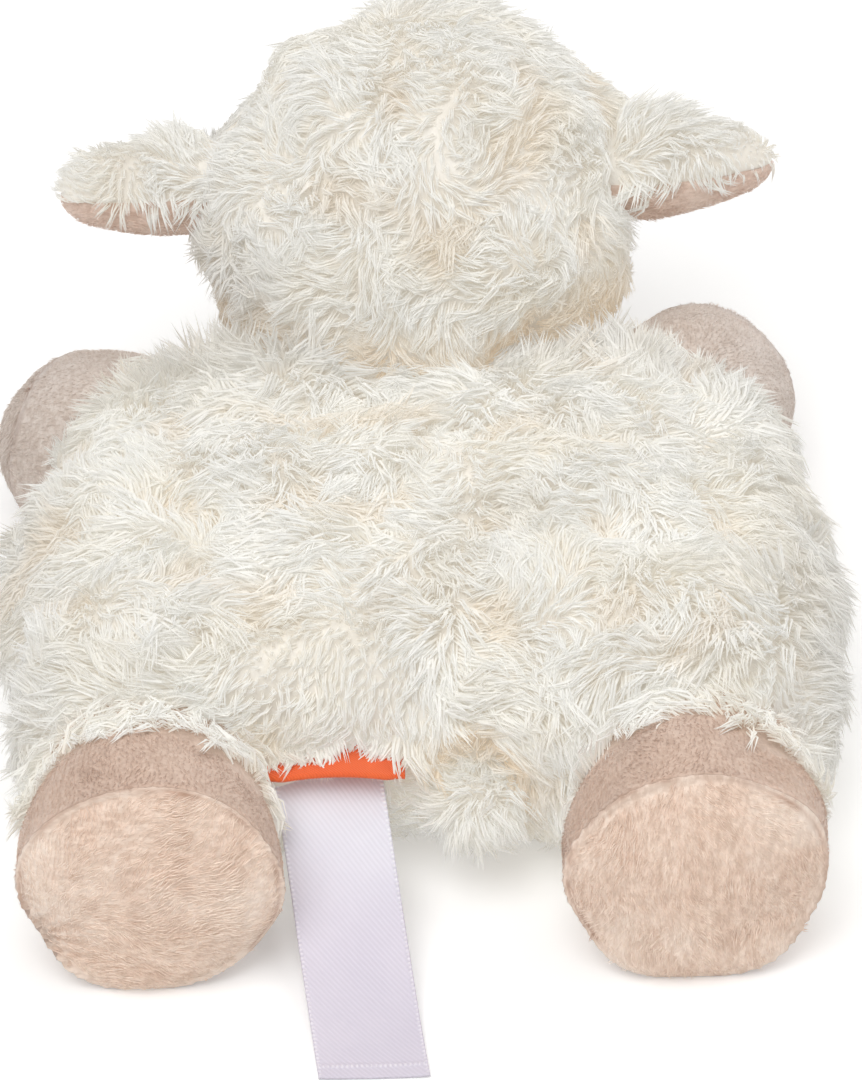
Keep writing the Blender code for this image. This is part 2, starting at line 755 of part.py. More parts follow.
def tab_place(across, row):
    """Out along the lower layer, round the fold and back along the upper one."""
    half = (TAB_FOLD + TAB_CLOTH) / 2
    straight = SEAM_DEPTH + TAB_REACH - half
    turned_by = math.pi * min(max(row - 1, 0), FOLD_ROWS) / FOLD_ROWS
    out = straight if 0 < round(row) < FOLD_ROWS + 2 else 0
    arch = SEAM_ARCH * (1 - across**2)
    x = TAB_SIDE + across * TAB_WIDTH / 2
    y = BODY_REAR_REACH - SEAM_DEPTH + out + half * math.sin(turned_by)
    return Vector((x, y, SIDE_SEAM_HEIGHT + arch - half * math.cos(turned_by)))


def label_place(across, row):
    """Down from under the tab in one curve, to lie on the table."""
    along = row / LABEL_ROWS
    slope = math.radians(LABEL_DROP_DEG)
    under = SIDE_SEAM_HEIGHT - TAB_FOLD / 2 - TAB_CLOTH - GAP - LABEL_CLOTH
    rest = LABEL_REST + LABEL_CLOTH / 2
    third = LABEL_REACH / 3
    length = LABEL_REACH + SEAM_DEPTH
    reaches = (0, third, 2 * third, length)
    heights = (under + SEAM_DEPTH * math.tan(slope), under - third * math.tan(slope), rest, rest)
    rest_share = 1 - along
    weights = (rest_share**3, 3 * rest_share**2 * along, 3 * rest_share * along**2, along**3)
    y = sum(weight * reach for weight, reach in zip(weights, reaches))
    z = sum(weight * height for weight, height in zip(weights, heights))
    arch = SEAM_ARCH * ARCH_SHARE * (1 - across**2) * rest_share**2
    x = LABEL_SIDE + across * LABEL_WIDTH / 2 - LABEL_DRIFT * along
    return Vector((x, BODY_REAR_REACH - SEAM_DEPTH + y, z + arch))


def build_tab_and_label(parts, cutters, materials):
    outside = body_form("body_outside", cutters)
    grow(outside, GAP)
    rows = FOLD_ROWS + 2
    tab = strip("seam_tab", TAB_COLUMNS, rows, tab_place, TAB_CLOTH, parts, materials["tab"])
    columns, rows, cloth = LABEL_COLUMNS, LABEL_ROWS, materials["label"]
    label = strip("care_label", columns, rows, label_place, LABEL_CLOTH, parts, cloth)
    cut(tab, outside)
    cut(label, outside)


def main():
    clear_scene()
    parts = make_collection("plush_sheep")
    cutters = make_collection("cutters")
    materials = {
        "fur": make_material("cream_fur", FUR_COLOUR, 0.95),
        "beige": make_material("beige_pile", BEIGE_COLOUR, 0.9),
        "sole": make_material("beige_sole", BEIGE_COLOUR, 0.85),
        "stuffing": make_material("white_stuffing", STUFFING_COLOUR, 1.0),
        "tab": make_material("orange_weave", TAB_COLOUR, 0.7),
        "label": make_material("white_satin", LABEL_COLOUR, 0.45),
        "eye": make_material("dark_eye", EYE_COLOUR, 0.1),
        "washer": make_material("white_washer", WASHER_COLOUR, 0.5),
        "thread": make_material("brown_thread", THREAD_COLOUR, 0.6),
    }
    wide = BODY_HALF_WIDTH + OVERRUN
    long = HEAD_REACH + HEAD_RADIUS + OVERRUN
    table = block("table_plane", (-wide, -long, -OVERRUN), (wide, long, 0), cutters)

    pockets = build_legs(parts, cutters, materials, table)
    pockets.append(build_tail(parts, cutters, materials))
    pockets.append(build_neck(parts, cutters, materials))
    build_body(parts, cutters, materials, pockets)
    ear_pockets = build_ears(parts, cutters, materials)
    holes, recesses = build_eyes(parts, cutters, materials)
    build_head(parts, cutters, materials, ear_pockets, holes, recesses)
    build_muzzle(parts, cutters, materials)
    build_tab_and_label(parts, cutters, materials)


main()
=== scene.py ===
# Plush sheep lying on its belly, in the same frame as its CAD model.
# Metres, +Z up. The sheep faces -Y, its left side is +X, and it rests on Z = 0.
import json
import math

import bmesh
import bpy
import numpy as np
from mathutils import Matrix, Vector

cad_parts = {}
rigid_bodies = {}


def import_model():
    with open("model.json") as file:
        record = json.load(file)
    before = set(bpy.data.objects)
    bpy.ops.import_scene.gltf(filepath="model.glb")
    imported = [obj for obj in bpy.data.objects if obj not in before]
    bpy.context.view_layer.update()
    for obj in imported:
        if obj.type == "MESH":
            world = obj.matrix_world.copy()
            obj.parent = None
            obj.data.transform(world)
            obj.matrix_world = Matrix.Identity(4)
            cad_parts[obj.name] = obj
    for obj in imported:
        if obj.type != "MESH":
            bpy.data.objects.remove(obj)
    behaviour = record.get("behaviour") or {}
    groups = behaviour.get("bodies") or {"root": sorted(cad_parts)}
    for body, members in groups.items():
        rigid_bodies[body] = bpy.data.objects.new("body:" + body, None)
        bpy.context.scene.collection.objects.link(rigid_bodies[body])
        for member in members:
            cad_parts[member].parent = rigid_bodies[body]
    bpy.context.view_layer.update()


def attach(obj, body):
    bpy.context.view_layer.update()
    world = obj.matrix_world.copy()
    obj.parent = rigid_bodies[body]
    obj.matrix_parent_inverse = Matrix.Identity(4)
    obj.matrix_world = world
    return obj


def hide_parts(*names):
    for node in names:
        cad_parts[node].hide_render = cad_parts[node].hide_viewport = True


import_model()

sides = {"left": 1, "right": -1}


# Meshes, pieces and fields shared by all
def meshFrom(name, points, faces):
    mesh = bpy.data.meshes.new(name)
    mesh.from_pydata([tuple(point) for point in points], [], faces)
    mesh.update()
    return mesh


def addPiece(name, mesh, material, smooth=True):
    piece = bpy.data.objects.new(name, mesh)
    bpy.context.scene.collection.objects.link(piece)
    mesh.materials.clear()
    mesh.materials.append(material)
    mesh.polygons.foreach_set("use_smooth", [smooth] * len(mesh.polygons))
    return piece


def readPoints(mesh, what="position"):
    values = np.zeros(len(mesh.vertices) * 3, dtype=np.float32)
    if what == "position":
        mesh.vertices.foreach_get("co", values)
    else:
        mesh.vertex_normals.foreach_get("vector", values)
    return values.reshape(-1, 3).astype(float)


def writePoints(mesh, points):
    mesh.vertices.foreach_set("co", np.asarray(points, dtype=np.float32).ravel())
    mesh.update()


def storeFloat(mesh, name, values):
    layer = mesh.attributes.get(name) or mesh.attributes.new(name, "FLOAT", "POINT")
    layer.data.foreach_set("value", np.asarray(values, dtype=np.float32))


def storeVector(mesh, name, values):
    layer = mesh.attributes.get(name) or mesh.attributes.new(name, "FLOAT_VECTOR", "POINT")
    layer.data.foreach_set("vector", np.asarray(values, dtype=np.float32).ravel())


def unit(vectors):
    length = np.linalg.norm(vectors, axis=-1, keepdims=True)
    return vectors / np.maximum(length, 1e-9)


# 0 below low, 1 above high and smooth between them.
def ease(values, low, high):
    share = np.clip((values - low) / (high - low), 0, 1)
    return share * share * (3 - 2 * share)


# 1 below low, 0 above high and smooth between them.
def fall(values, low, high):
    return 1 - ease(values, low, high)


# 1 at the middle and falling away over about width on both sides.
def peak(values, middle, width):
    return np.exp(-(((values - middle) / width) ** 2))


# A smooth field from about -1 to 1 whose lumps are about size across.
def waves(points, size, seed, count=7):
    rng = np.random.default_rng(seed)
    total = np.zeros(len(points))
    for _ in range(count):
        heading = unit(rng.normal(size=3))
        pitch = math.tau / (size * rng.uniform(1.4, 2.8))
        total += np.sin(points @ heading * pitch + rng.uniform(0, math.tau))
    return total / math.sqrt(count / 2)


# Each vector turned about its own axis by its own angle.
def turnAbout(vectors, axes, angles):
    cosine, sine = np.cos(angles)[:, None], np.sin(angles)[:, None]
    along = np.sum(vectors * axes, axis=1, keepdims=True) * axes
    return vectors * cosine + np.cross(axes, vectors) * sine + along * (1 - cosine)


# The part of each vector that lies in the cloth.
def layFlat(vectors, normals):
    return unit(vectors - np.sum(vectors * normals, axis=1, keepdims=True) * normals)


# Points of the model as the frame of a matrix sees them.
def inFrame(points, matrix):
    turn = np.array(matrix.inverted())
    return points @ turn[:3, :3].T + turn[:3, 3]


# Stores how fur lies on a cloth: along flow turned by angles, and its length and lift.
def storeNap(mesh, flow, angles, length, lift):
    points, normals = readPoints(mesh), readPoints(mesh, "normal")
    flat = layFlat(np.broadcast_to(flow, points.shape), normals)
    storeVector(mesh, "comb", turnAbout(flat, normals, angles))
    storeFloat(mesh, "furLength", length + np.zeros(len(points)))
    storeFloat(mesh, "furLift", lift + np.zeros(len(points)))


# A closed cube of side 2 with its faces cut into small squares.
def cubeCage(cuts):
    bm = bmesh.new()
    bmesh.ops.create_cube(bm, size=2)
    bmesh.ops.subdivide_edges(bm, edges=bm.edges, cuts=cuts, use_grid_fill=True)
    bm.verts.ensure_lookup_table()
    points = np.array([tuple(vert.co) for vert in bm.verts])
    faces = [[vert.index for vert in face.verts] for face in bm.faces]
    bm.free()
    return points, faces


# A closed turned mesh from (radius, height) points, with a pole at both ends.
def lathe(name, profile, steps, matrix, shape=None):
    inner = profile[1:-1]
    angles = np.arange(steps) / steps * math.tau
    points = [(0, 0, profile[0][1])]
    for radius, height in inner:
        points += [(radius * math.cos(a), radius * math.sin(a), height) for a in angles]
    points.append((0, 0, profile[-1][1]))
    last = len(points) - 1
    faces = []
    for step in range(steps):
        after = (step + 1) % steps
        faces.append([0, 1 + after, 1 + step])
        for ring in range(len(inner) - 1):
            low, high = 1 + ring * steps, 1 + (ring + 1) * steps
            faces.append([low + step, low + after, high + after, high + step])
        low = 1 + (len(inner) - 1) * steps
        faces.append([low + step, low + after, last])
    points = np.array(points, dtype=float)
    if shape:
        points = shape(points)
    turn = np.array(matrix)
    points = points @ turn[:3, :3].T + turn[:3, 3]
    return meshFrom(name, points, faces)


# A frame at place with local Z along direction and local X near to across.
def facing(direction, place, across):
    ahead = Vector(direction).normalized()
    across = Vector(across)
    side = (across - ahead * across.dot(ahead)).normalized()
    turn = Matrix((side, ahead.cross(side), ahead)).transposed()
    return Matrix.Translation(place) @ turn.to_4x4()


# Materials
# Gives a node's inputs a plain value or another node's output; None leaves one as it is.
def feed(tree, node, inputs):
    for place, value in dict(inputs).items():
        if isinstance(value, bpy.types.NodeSocket):
            tree.links.new(value, node.inputs[place])
        elif value is not None:
            node.inputs[place].default_value = value


def addNode(tree, kind, inputs=(), **values):
    node = tree.nodes.new(kind)
    for key, value in values.items():
        setattr(node, key, value)
    feed(tree, node, inputs)
    return node


def startMaterial(name, roughness, sheen=0.0, sheenTint=(1, 1, 1), coat=0.0, coatRoughness=0.2):
    material = bpy.data.materials.new(name)
    material.use_nodes = True
    tree = material.node_tree
    surface = tree.nodes["Principled BSDF"]
    feed(tree, surface, {
        "Roughness": roughness, "Coat Weight": coat, "Coat Roughness": coatRoughness,
        "Sheen Weight": sheen, "Sheen Roughness": 0.5, "Sheen Tint": (*sheenTint, 1),
    })
    return material, tree, surface


# Object coordinates, stretched for cloth whose grain runs one way.
def objectPlace(tree, stretch=(1, 1, 1)):
    place = addNode(tree, "ShaderNodeTexCoord").outputs["Object"]
    inputs = {"Vector": place, "Scale": stretch}
    return addNode(tree, "ShaderNodeMapping", inputs).outputs["Vector"]


def noise(tree, place, scale, detail=2.0, roughness=0.5, distortion=0.0):
    inputs = {
        "Vector": place, "Scale": scale, "Detail": detail,
        "Roughness": roughness, "Distortion": distortion,
    }
    return addNode(tree, "ShaderNodeTexNoise", inputs).outputs["Fac"]


def span(tree, value, fromLow, fromHigh, toLow=0.0, toHigh=1.0):
    inputs = {
        "Value": value,
        "From Min": fromLow, "From Max": fromHigh, "To Min": toLow, "To Max": toHigh,
    }
    node = addNode(tree, "ShaderNodeMapRange", inputs, interpolation_type="SMOOTHSTEP")
    return node.outputs["Result"]


# Two colours mixed; each is a plain colour or another node's output.
def mixColour(tree, share, first, second, way="MIX"):
    pair = [(*value, 1) if isinstance(value, tuple) else value for value in (first, second)]
    inputs = {0: share, 6: pair[0], 7: pair[1]}
    return addNode(tree, "ShaderNodeMix", inputs, data_type="RGBA", blend_type=way).outputs[2]


# Bump from one or more (height, distance, strength) layers, each on top of the last.
def addBump(tree, surface, layers):
    before = None
    for height, distance, strength in layers:
        inputs = {"Height": height, "Distance": distance, "Strength": strength, "Normal": before}
        before = addNode(tree, "ShaderNodeBump", inputs).outputs["Normal"]
    tree.links.new(before, surface.inputs["Normal"])


def readAttribute(tree, name):
    return addNode(tree, "ShaderNodeAttribute", attribute_name=name).outputs["Fac"]


# Gives a surface its colour and, with glow, an emission of the same colour, which is painted light.
def paint(tree, surface, colour, glow=None):
    feed(tree, surface, {"Base Color": colour})
    if glow is not None:
        feed(tree, surface, {"Emission Color": colour, "Emission Strength": glow})


furColours = {
    "root": (0.755, 0.725, 0.665),
    "middle": (0.767, 0.755, 0.715),
    "tip": (0.786, 0.780, 0.753),
    "warm": (0.97, 0.94, 0.885),
    # Painted shade in the creases of the coat
    "creaseShade": (0.965, 0.83, 0.67),
    "shade": (0.80, 0.79, 0.79),
    "cool": (0.95, 0.955, 0.96),
    # The glow is painted light, an emission standing in for light passed between white fibres
    "glow": (0.25, 0.20),  # at root and tip; light that white fibres pass on to each other
}


def makeFurMaterial(name, colours):
    material, tree, surface = startMaterial(name, 0.62, sheen=0.6)
    along = readAttribute(tree, "rootToTip")
    tint = readAttribute(tree, "lockTint")
    place = objectPlace(tree)
    # Strands darker toward the root: painted shade deep in the coat
    low = mixColour(tree, span(tree, along, 0.0, 0.45), colours["root"], colours["middle"])
    colour = mixColour(tree, span(tree, along, 0.35, 0.9), low, colours["tip"])
    patches = span(tree, noise(tree, place, 38, 2), 0.42, 0.68, 0.0, 0.55)
    colour = mixColour(tree, patches, colour, colours["warm"], "MULTIPLY")
    cool = span(tree, tint, 0.0, 1.0, 0.0, 0.5)
    colour = mixColour(tree, cool, colour, colours["cool"], "MULTIPLY")
    # Painted shade in the creases: at the neck, between tufts and round the tail
    creaseShade = readAttribute(tree, "furCrease")
    colour = mixColour(tree, creaseShade, colour, colours["creaseShade"], "MULTIPLY")
    shade = readAttribute(tree, "furShade")
    colour = mixColour(tree, shade, colour, colours["shade"], "MULTIPLY")
    # Painted light from the glow, strongest at the root where the coat is shaded most
    paint(tree, surface, colour, span(tree, along, 0.0, 0.8, *colours["glow"]))
    return material


# The knitted backing that the fur grows from. Its tone is partly the cloth's own and partly painted
# shade between the strands, and its emission is painted light.
def makeBackingMaterial(name, light, dark):
    material, tree, surface = startMaterial(name, 0.9, sheen=0.2)
    place = objectPlace(tree)
    colour = mixColour(tree, span(tree, noise(tree, place, 60, 3), 0.35, 0.65), dark, light)
    paint(tree, surface, colour, 0.12)
    knit = noise(tree, objectPlace(tree, (1, 0.5, 1)), 1400, 2)
    addBump(tree, surface, [(noise(tree, place, 160, 3), 0.0008, 0.5), (knit, 0.0003, 0.6)])
    return material


furMaterial = makeFurMaterial("silkyCreamFur", furColours)
backingMaterial = makeBackingMaterial("furBacking", (0.83, 0.80, 0.745), (0.74, 0.70, 0.635))


# Fur: one lock is a few tapering strands that rise from the backing and lie over
lockSizes = {
    "strands": 6,
    "length": 0.013,
    "rootSpread": 0.0018,   # radius of the lock where it is rooted
    "strandRadius": 0.00037,
    "bow": 0.0024,          # how far the middle of a strand stands off its chord
    "gather": 0.10,         # how much of the spread is left at the tips
    "curl": 0.0044,
    "variants": 6,
}


# Three corners round a centre.
def threeRound(centre, angle, reach):
    x, y, z = centre
    turns = [angle + corner * math.tau / 3 for corner in range(3)]
    return [(x + math.cos(turn) * reach, y + math.sin(turn) * reach, z) for turn in turns]


def makeLock(name, sizes, seed):
    rng = np.random.default_rng(seed)
    points, faces, along = [], [], []
    curl = rng.uniform(-1, 1) * sizes["curl"]
    for strand in range(sizes["strands"]):
        angle = strand / sizes["strands"] * math.tau + rng.uniform(-0.5, 0.5)
        spread = sizes["rootSpread"] * math.sqrt(rng.uniform(0.1, 1))
        length = sizes["length"] * rng.uniform(0.75, 1.08)
        bow = sizes["bow"] * rng.uniform(0.5, 1.4)
        lean = rng.uniform(-0.35, 0.35) * sizes["curl"]
        first = len(points)
        for share, thick in ((0, 0.85), (0.45, 1), (1, 0)):
            gather = 1 - (1 - sizes["gather"]) * share
            x = spread * math.cos(angle) * gather + bow * math.sin(math.pi * share * 0.92)
            y = spread * math.sin(angle) * gather + (curl + lean) * share * share
            centre = (x, y, length * share)
            ring = threeRound(centre, angle, sizes["strandRadius"] * thick) if thick else [centre]
            points += ring
            along += [share] * len(ring)
        faces.append([first + 2, first + 1, first])
        for corner in range(3):
            after = (corner + 1) % 3
            faces.append([first + corner, first + after, first + 3 + after, first + 3 + corner])
            faces.append([first + 3 + corner, first + 3 + after, first + 6])
    mesh = meshFrom(name, points, faces)
    storeFloat(mesh, "rootToTip", along)
    return mesh


# The lock variants, kept out of the scene.
def lockCollection(name, sizes, seed, make):
    home = bpy.data.collections.new(name)
    for number in range(sizes["variants"]):
        lock = make(f"{name}_{number}", sizes, seed + number)
        home.objects.link(bpy.data.objects.new(f"{name}_{number}", lock))
    return home


# Geometry nodes that root locks in a cloth, comb them, wave them and realize them.
def buildGrowTree(name, home, material):
    tree = bpy.data.node_groups.new(name, "GeometryNodeTree")
    face = tree.interface
    face.new_socket("Cloth", in_out="INPUT", socket_type="NodeSocketGeometry")
    numbers = (
        ("Spacing", 0.002), ("Lift", 0.5), ("Stray", 0.4), ("Smallest", 0.7), ("Largest", 1.15),
        ("Wave", 0.003), ("Wave size", 0.02), ("Ruffle", 0.0008), ("Ruffle size", 0.004),
        ("Floor", 0.0004),
    )
    for label, value in numbers:
        face.new_socket(label, in_out="INPUT", socket_type="NodeSocketFloat").default_value = value
    face.new_socket("Seed", in_out="INPUT", socket_type="NodeSocketInt").default_value = 1
    face.new_socket("Fur", in_out="OUTPUT", socket_type="NodeSocketGeometry")
    given = tree.nodes.new("NodeGroupInput").outputs

    def add(kind, inputs=(), output=0, **values):
        return addNode(tree, kind, inputs, **values).outputs[output]

    def named(label, kind="FLOAT"):
        return add("GeometryNodeInputNamedAttribute", {"Name": label}, data_type=kind)

    def maths(operation, first, second=None):
        return add("ShaderNodeMath", {0: first, 1: second}, operation=operation)

    def vectors(operation, first, second=None, scale=None):
        inputs = {0: first, 1: second, "Scale": scale}
        return add("ShaderNodeVectorMath", inputs, operation=operation)

    # A random number; the node has its own sockets for each kind of number.
    def random(low, high, seed, kind="FLOAT", socket="VALUE"):
        inputs = {"Seed": maths("ADD", given["Seed"], seed)}
        node = addNode(tree, "FunctionNodeRandomValue", inputs, data_type=kind)
        own = [place for place, item in enumerate(node.inputs) if item.type == socket]
        ends = [place for place in own if node.inputs[place].name in ("Min", "Max")]
        feed(tree, node, zip(ends, (low, high)))
        return [item for item in node.outputs if item.type == socket][0]

    def stored(name, domain, kind, geometry, value):
        inputs = {"Geometry": geometry, "Name": name, "Value": value}
        return add("GeometryNodeStoreNamedAttribute", inputs, data_type=kind, domain=domain)

    inputs = {
        "Mesh": given["Cloth"], "Seed": given["Seed"], "Distance Min": given["Spacing"],
        "Density Max": 4e6, "Density Factor": named("furShare"),
    }
    kind = "GeometryNodeDistributePointsOnFaces"
    scatter = addNode(tree, kind, inputs, distribute_method="POISSON").outputs
    roots, normals = scatter["Points"], scatter["Normal"]
    rooted = stored("coatNormal", "POINT", "FLOAT_VECTOR", roots, normals)

    upward = named("coatNormal", "FLOAT_VECTOR")
    stray = maths("MULTIPLY", random(-1.0, 1.0, 11), given["Stray"])
    inputs = {"Vector": named("comb", "FLOAT_VECTOR"), "Axis": upward, "Angle": stray}
    comb = add("ShaderNodeVectorRotate", inputs, rotation_type="AXIS_ANGLE")
    lift = maths("MULTIPLY", given["Lift"], random(0.6, 1.4, 12))
    lift = maths("MULTIPLY", lift, named("furLift"))
    flat = vectors("SCALE", comb, scale=maths("COSINE", lift))
    raised = vectors("SCALE", upward, scale=maths("SINE", lift))
    inputs = {"Primary Axis": vectors("ADD", flat, raised), "Secondary Axis": upward}
    turn = add("FunctionNodeAxesToRotation", inputs, primary_axis="Z", secondary_axis="X")

    inputs = {"Collection": home, "Separate Children": True, "Reset Children": True}
    locks = add("GeometryNodeCollectionInfo", inputs, transform_space="ORIGINAL")
    pick = random(0, len(home.objects) - 1, 0, "INT", "INT")
    size = maths("MULTIPLY", random(given["Smallest"], given["Largest"], 13), named("furLength"))
    planted = add("GeometryNodeInstanceOnPoints", {
        "Points": rooted, "Instance": locks, "Pick Instance": True, "Instance Index": pick,
        "Rotation": turn, "Scale": size,
    })
    tinted = stored("lockTint", "INSTANCE", "FLOAT", planted, random(0.0, 1.0, 14))
    real = add("GeometryNodeRealizeInstances", {"Geometry": tinted})

    where = add("GeometryNodeInputPosition")
    toTip = named("rootToTip")
    grown = maths("MULTIPLY", toTip, toTip)

    def sway(width, reach):
        inputs = {"Vector": where, "Scale": maths("DIVIDE", 1.0, width), "Detail": 1}
        centred = vectors("SUBTRACT", add("ShaderNodeTexNoise", inputs, "Color"), (0.5, 0.5, 0.5))
        return vectors("SCALE", centred, scale=maths("MULTIPLY", grown, reach))

    wave, ruffle = (sway(given[name + " size"], given[name]) for name in ("Wave", "Ruffle"))
    inputs = {"Geometry": real, "Offset": vectors("ADD", wave, ruffle)}
    swayed = add("GeometryNodeSetPosition", inputs)
    apart = addNode(tree, "ShaderNodeSeparateXYZ", {0: where}).outputs
    inputs = {0: apart[0], 1: apart[1], 2: maths("MAXIMUM", apart[2], given["Floor"])}
    inputs = {"Geometry": swayed, "Position": add("ShaderNodeCombineXYZ", inputs)}
    rested = add("GeometryNodeSetPosition", inputs)
    dressed = add("GeometryNodeSetMaterial", {"Geometry": rested, "Material": material})
    addNode(tree, "NodeGroupOutput", {"Fur": dressed})
    return tree


# Grows locks on a copy of the cloth where share is above 0; returns one plain piece.
def growFur(name, cloth, tree, share, values, seed, material):
    bed = cloth.copy()
    storeFloat(bed, "furShare", share)
    carrier = bpy.data.objects.new(name + "Bed", bed)
    bpy.context.scene.collection.objects.link(carrier)
    grow = carrier.modifiers.new("grow", "NODES")
    grow.node_group = tree
    values = {**values, "Seed": seed}
    for item in tree.interface.items_tree:
        if item.item_type == "SOCKET" and item.in_out == "INPUT" and item.name in values:
            grow[item.identifier] = values[item.name]
    bpy.context.view_layer.update()
    graph = bpy.context.evaluated_depsgraph_get()
    mesh = bpy.data.meshes.new_from_object(carrier.evaluated_get(graph))
    mesh.name = name
    bpy.data.objects.remove(carrier)
    bpy.data.meshes.remove(bed)
    piece = addPiece(name, mesh, material, False)
    print(name, len(mesh.polygons), "faces", flush=True)
    return piece


furLocks = lockCollection("furLocks", lockSizes, 40, makeLock)
furTree = buildGrowTree("growFur", furLocks, furMaterial)


# Sizes of the legs and the tab, which the body's fur leaves room for
hindSizes = {
    "root": 0.030, "swell": 0.0352, "swellPlace": 0.026, "length": 0.038,
    "end": 0.0346, "crown": 0.0075,
    "side": 0.0742, "behind": 0.078, "height": 0.0347,
}
foreSizes = {
    "root": 0.022, "swell": 0.030, "swellPlace": 0.038, "length": 0.057,
    "end": 0.025, "crown": 0.012,
    "side": 0.0605, "ahead": 0.062, "height": 0.0295,
    "splay": {"left": 60, "right": 30},
}
tabSizes = {
    "width": 0.0385, "reach": 0.0105, "side": 0.024, "seam": 0.006, "fold": 0.0006, "cloth": 0.0006,
    "arch": 0.0026, "height": 0.0405, "rear": 0.072, "taper": 0.10,
}


# Body: a wide low loaf with two haunches, covered in silky fur
bodySizes = {
    "halfWidth": 0.1135,
    "frontReach": 0.086,
    "rearReach": 0.072,
    "widestHeight": 0.036,
    "topHeight": 0.080,
    "planSquareness": 4.2,
    "sideSquareness": 2.5,
    "bellyFlatness": 0.62,
    "haunchRadius": 0.042,
    "haunchRise": 0.046,
    "haunchSide": 0.071,
    "haunchBehind": 0.060,
    "over": 0.0010,         # how far the fur's thick base lies over the CAD's cloth
    "lumps": 0.0014,        # slow rise and fall of the stuffing
    "tufts": 0.0013,        # thicker and thinner tufts of the coat
    "tuftWidth": 0.014,
    "seamSide": -0.006,     # the centre seam runs a little to the right
    "seamWidth": 0.0035,
    "seamDip": 0.0012,
    "tabDip": 0.0022,       # how far the coat is pressed in under the tab
}
# How the back's fur lies; a pair is where a change starts and where it is complete
bodyNap = {
    "spacing": 0.00190,
    "lift": 0.36,
    "length": 0.88,
    "uneven": 0.16,
    "bunched": 0.60,        # how much more the fur stands in some tufts than in others
    "whorls": ((0.026, 11, 1.2), (0.011, 12, 0.85)),    # size, seed and turn
    "turnsForward": (0.060, 0.085),
    "rump": (0.062, 0.080),
    "crestAhead": (0.045, 0.066), "crestUp": (0.036, 0.052), "crestSide": (0.080, 0.096),
    "crestLength": 0.34, "crestLift": 2.4, "crestShade": 0.45,
    "bellyShorter": 0.35, "tabShorter": 0.45, "tailShorter": 0.35,
    "tail": (0.015, 0.034),         # the middle of the tail's root, to the right and up
    "tailRing": (0.0135, 0.0040),   # radius and width of the crease round it
    # Strength of the painted shade in the creases
    "creaseShades": (0.8, 0.28, 0.75),   # at the neck, between the tufts and round the tail
    "hindGap": (0.0335, -0.004),    # radius and start of the bare place inside each leg
    "foreGap": (0.019, 0.006),
    "tabGap": (0.0205, 0.034),      # half its width and its foot
    "labelGap": (0.0265, 0.0165, 0.022, 0.036),     # middle, half its width, foot and top
    "endZones": 0.045, "sideZones": 0.055,      # where the fur is parted into pieces
}


# Where points of the unit cube lie on the loaf and its haunches.
def bodyForm(corners, sizes):
    size = np.abs(corners)
    plan = (size[:, 0] ** sizes["planSquareness"] + size[:, 1] ** sizes["planSquareness"])
    plan = plan ** (1 / sizes["planSquareness"])
    squareness = sizes["sideSquareness"]
    pull = (plan**squareness + size[:, 2] ** squareness) ** (-1 / squareness)
    x, y, z = (corners * pull[:, None]).T
    middle = sizes["widestHeight"]
    above = z * (sizes["topHeight"] - middle)
    below = -(np.abs(z) ** sizes["bellyFlatness"]) * (middle + 0.0005)
    long = np.where(y > 0, sizes["rearReach"], sizes["frontReach"])
    height = middle + np.where(z > 0, above, below)
    points = np.stack([x * sizes["halfWidth"], y * long, height], axis=1)
    side = np.where(points[:, 0] >= 0, 1, -1) * sizes["haunchSide"]
    centre = np.stack([side, 0 * side + sizes["haunchBehind"], 0 * side + middle], axis=1)
    offset = points - centre
    tall = np.where(offset[:, 2] > 0, sizes["haunchRise"], middle + 0.0005)
    wide = 0 * side + sizes["haunchRadius"]
    reach = np.linalg.norm(offset / np.stack([wide, wide, tall], axis=1), axis=1)
    blended = (1 + reach**6) ** (1 / 6)
    return centre + offset * (blended / np.maximum(reach, 1e-6))[:, None]


# A coarse cage made smooth, as sewn cloth over stuffing is.
def smoothCage(name, points, faces, levels):
    cage = bpy.data.objects.new(name, meshFrom(name, points, faces))
    bpy.context.scene.collection.objects.link(cage)
    smooth = cage.modifiers.new("smooth", "SUBSURF")
    smooth.levels = smooth.render_levels = levels
    bpy.context.view_layer.update()
    graph = bpy.context.evaluated_depsgraph_get()
    mesh = bpy.data.meshes.new_from_object(cage.evaluated_get(graph))
    mesh.name = name
    bpy.data.objects.remove(cage)
    return mesh


def buildBodyCoat():
    corners, faces = cubeCage(4)
    mesh = smoothCage("bodyCoat", bodyForm(corners, bodySizes), faces, 4)
    points, normals = readPoints(mesh), readPoints(mesh, "normal")
    x, y, z = points.T
    lumps = waves(points, 0.030, 3) * bodySizes["lumps"]
    lumps += waves(points, bodySizes["tuftWidth"], 4) * bodySizes["tufts"]
    lumps *= ease(z, 0.004, 0.02)
    seam = peak(x, bodySizes["seamSide"], bodySizes["seamWidth"]) * ease(z, 0.03, 0.05)
    tabSeat = fall(np.abs(x - tabSizes["side"]), 0.022, 0.032) * ease(y, 0.045, 0.06)
    tabSeat *= ease(z, 0.02, 0.035) * fall(z, 0.045, 0.055)
    dips = seam * bodySizes["seamDip"] + tabSeat * bodySizes["tabDip"]
    points += normals * (lumps + bodySizes["over"] - dips)[:, None]
    points[:, 2] = np.maximum(points[:, 2], 0.0002)
    writePoints(mesh, points)
    return addPiece("bodyCoat", mesh, backingMaterial)


bodyCoat = buildBodyCoat()
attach(bodyCoat, "body")
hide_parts("back_left_panel", "back_right_panel", "belly_panel", "body_stuffing")
print("body coat", len(bodyCoat.data.polygons), flush=True)


# 1 where a point of the coat lies inside a leg's sleeve.
def insideLeg(points, limb, side, heading, radius, start):
    behind = limb.get("behind", 0) - limb.get("ahead", 0)
    offset = points - np.array([sides[side] * limb["side"], behind, limb["height"]])
    along = offset @ np.array(heading)
    away = np.linalg.norm(offset - along[:, None] * np.array(heading), axis=1)
    return (away < radius) & (along > start)


# Which way a foreleg points.
def foreHeading(side):
    splay = math.radians(foreSizes["splay"][side])
    return sides[side] * math.sin(splay), -math.cos(splay), 0


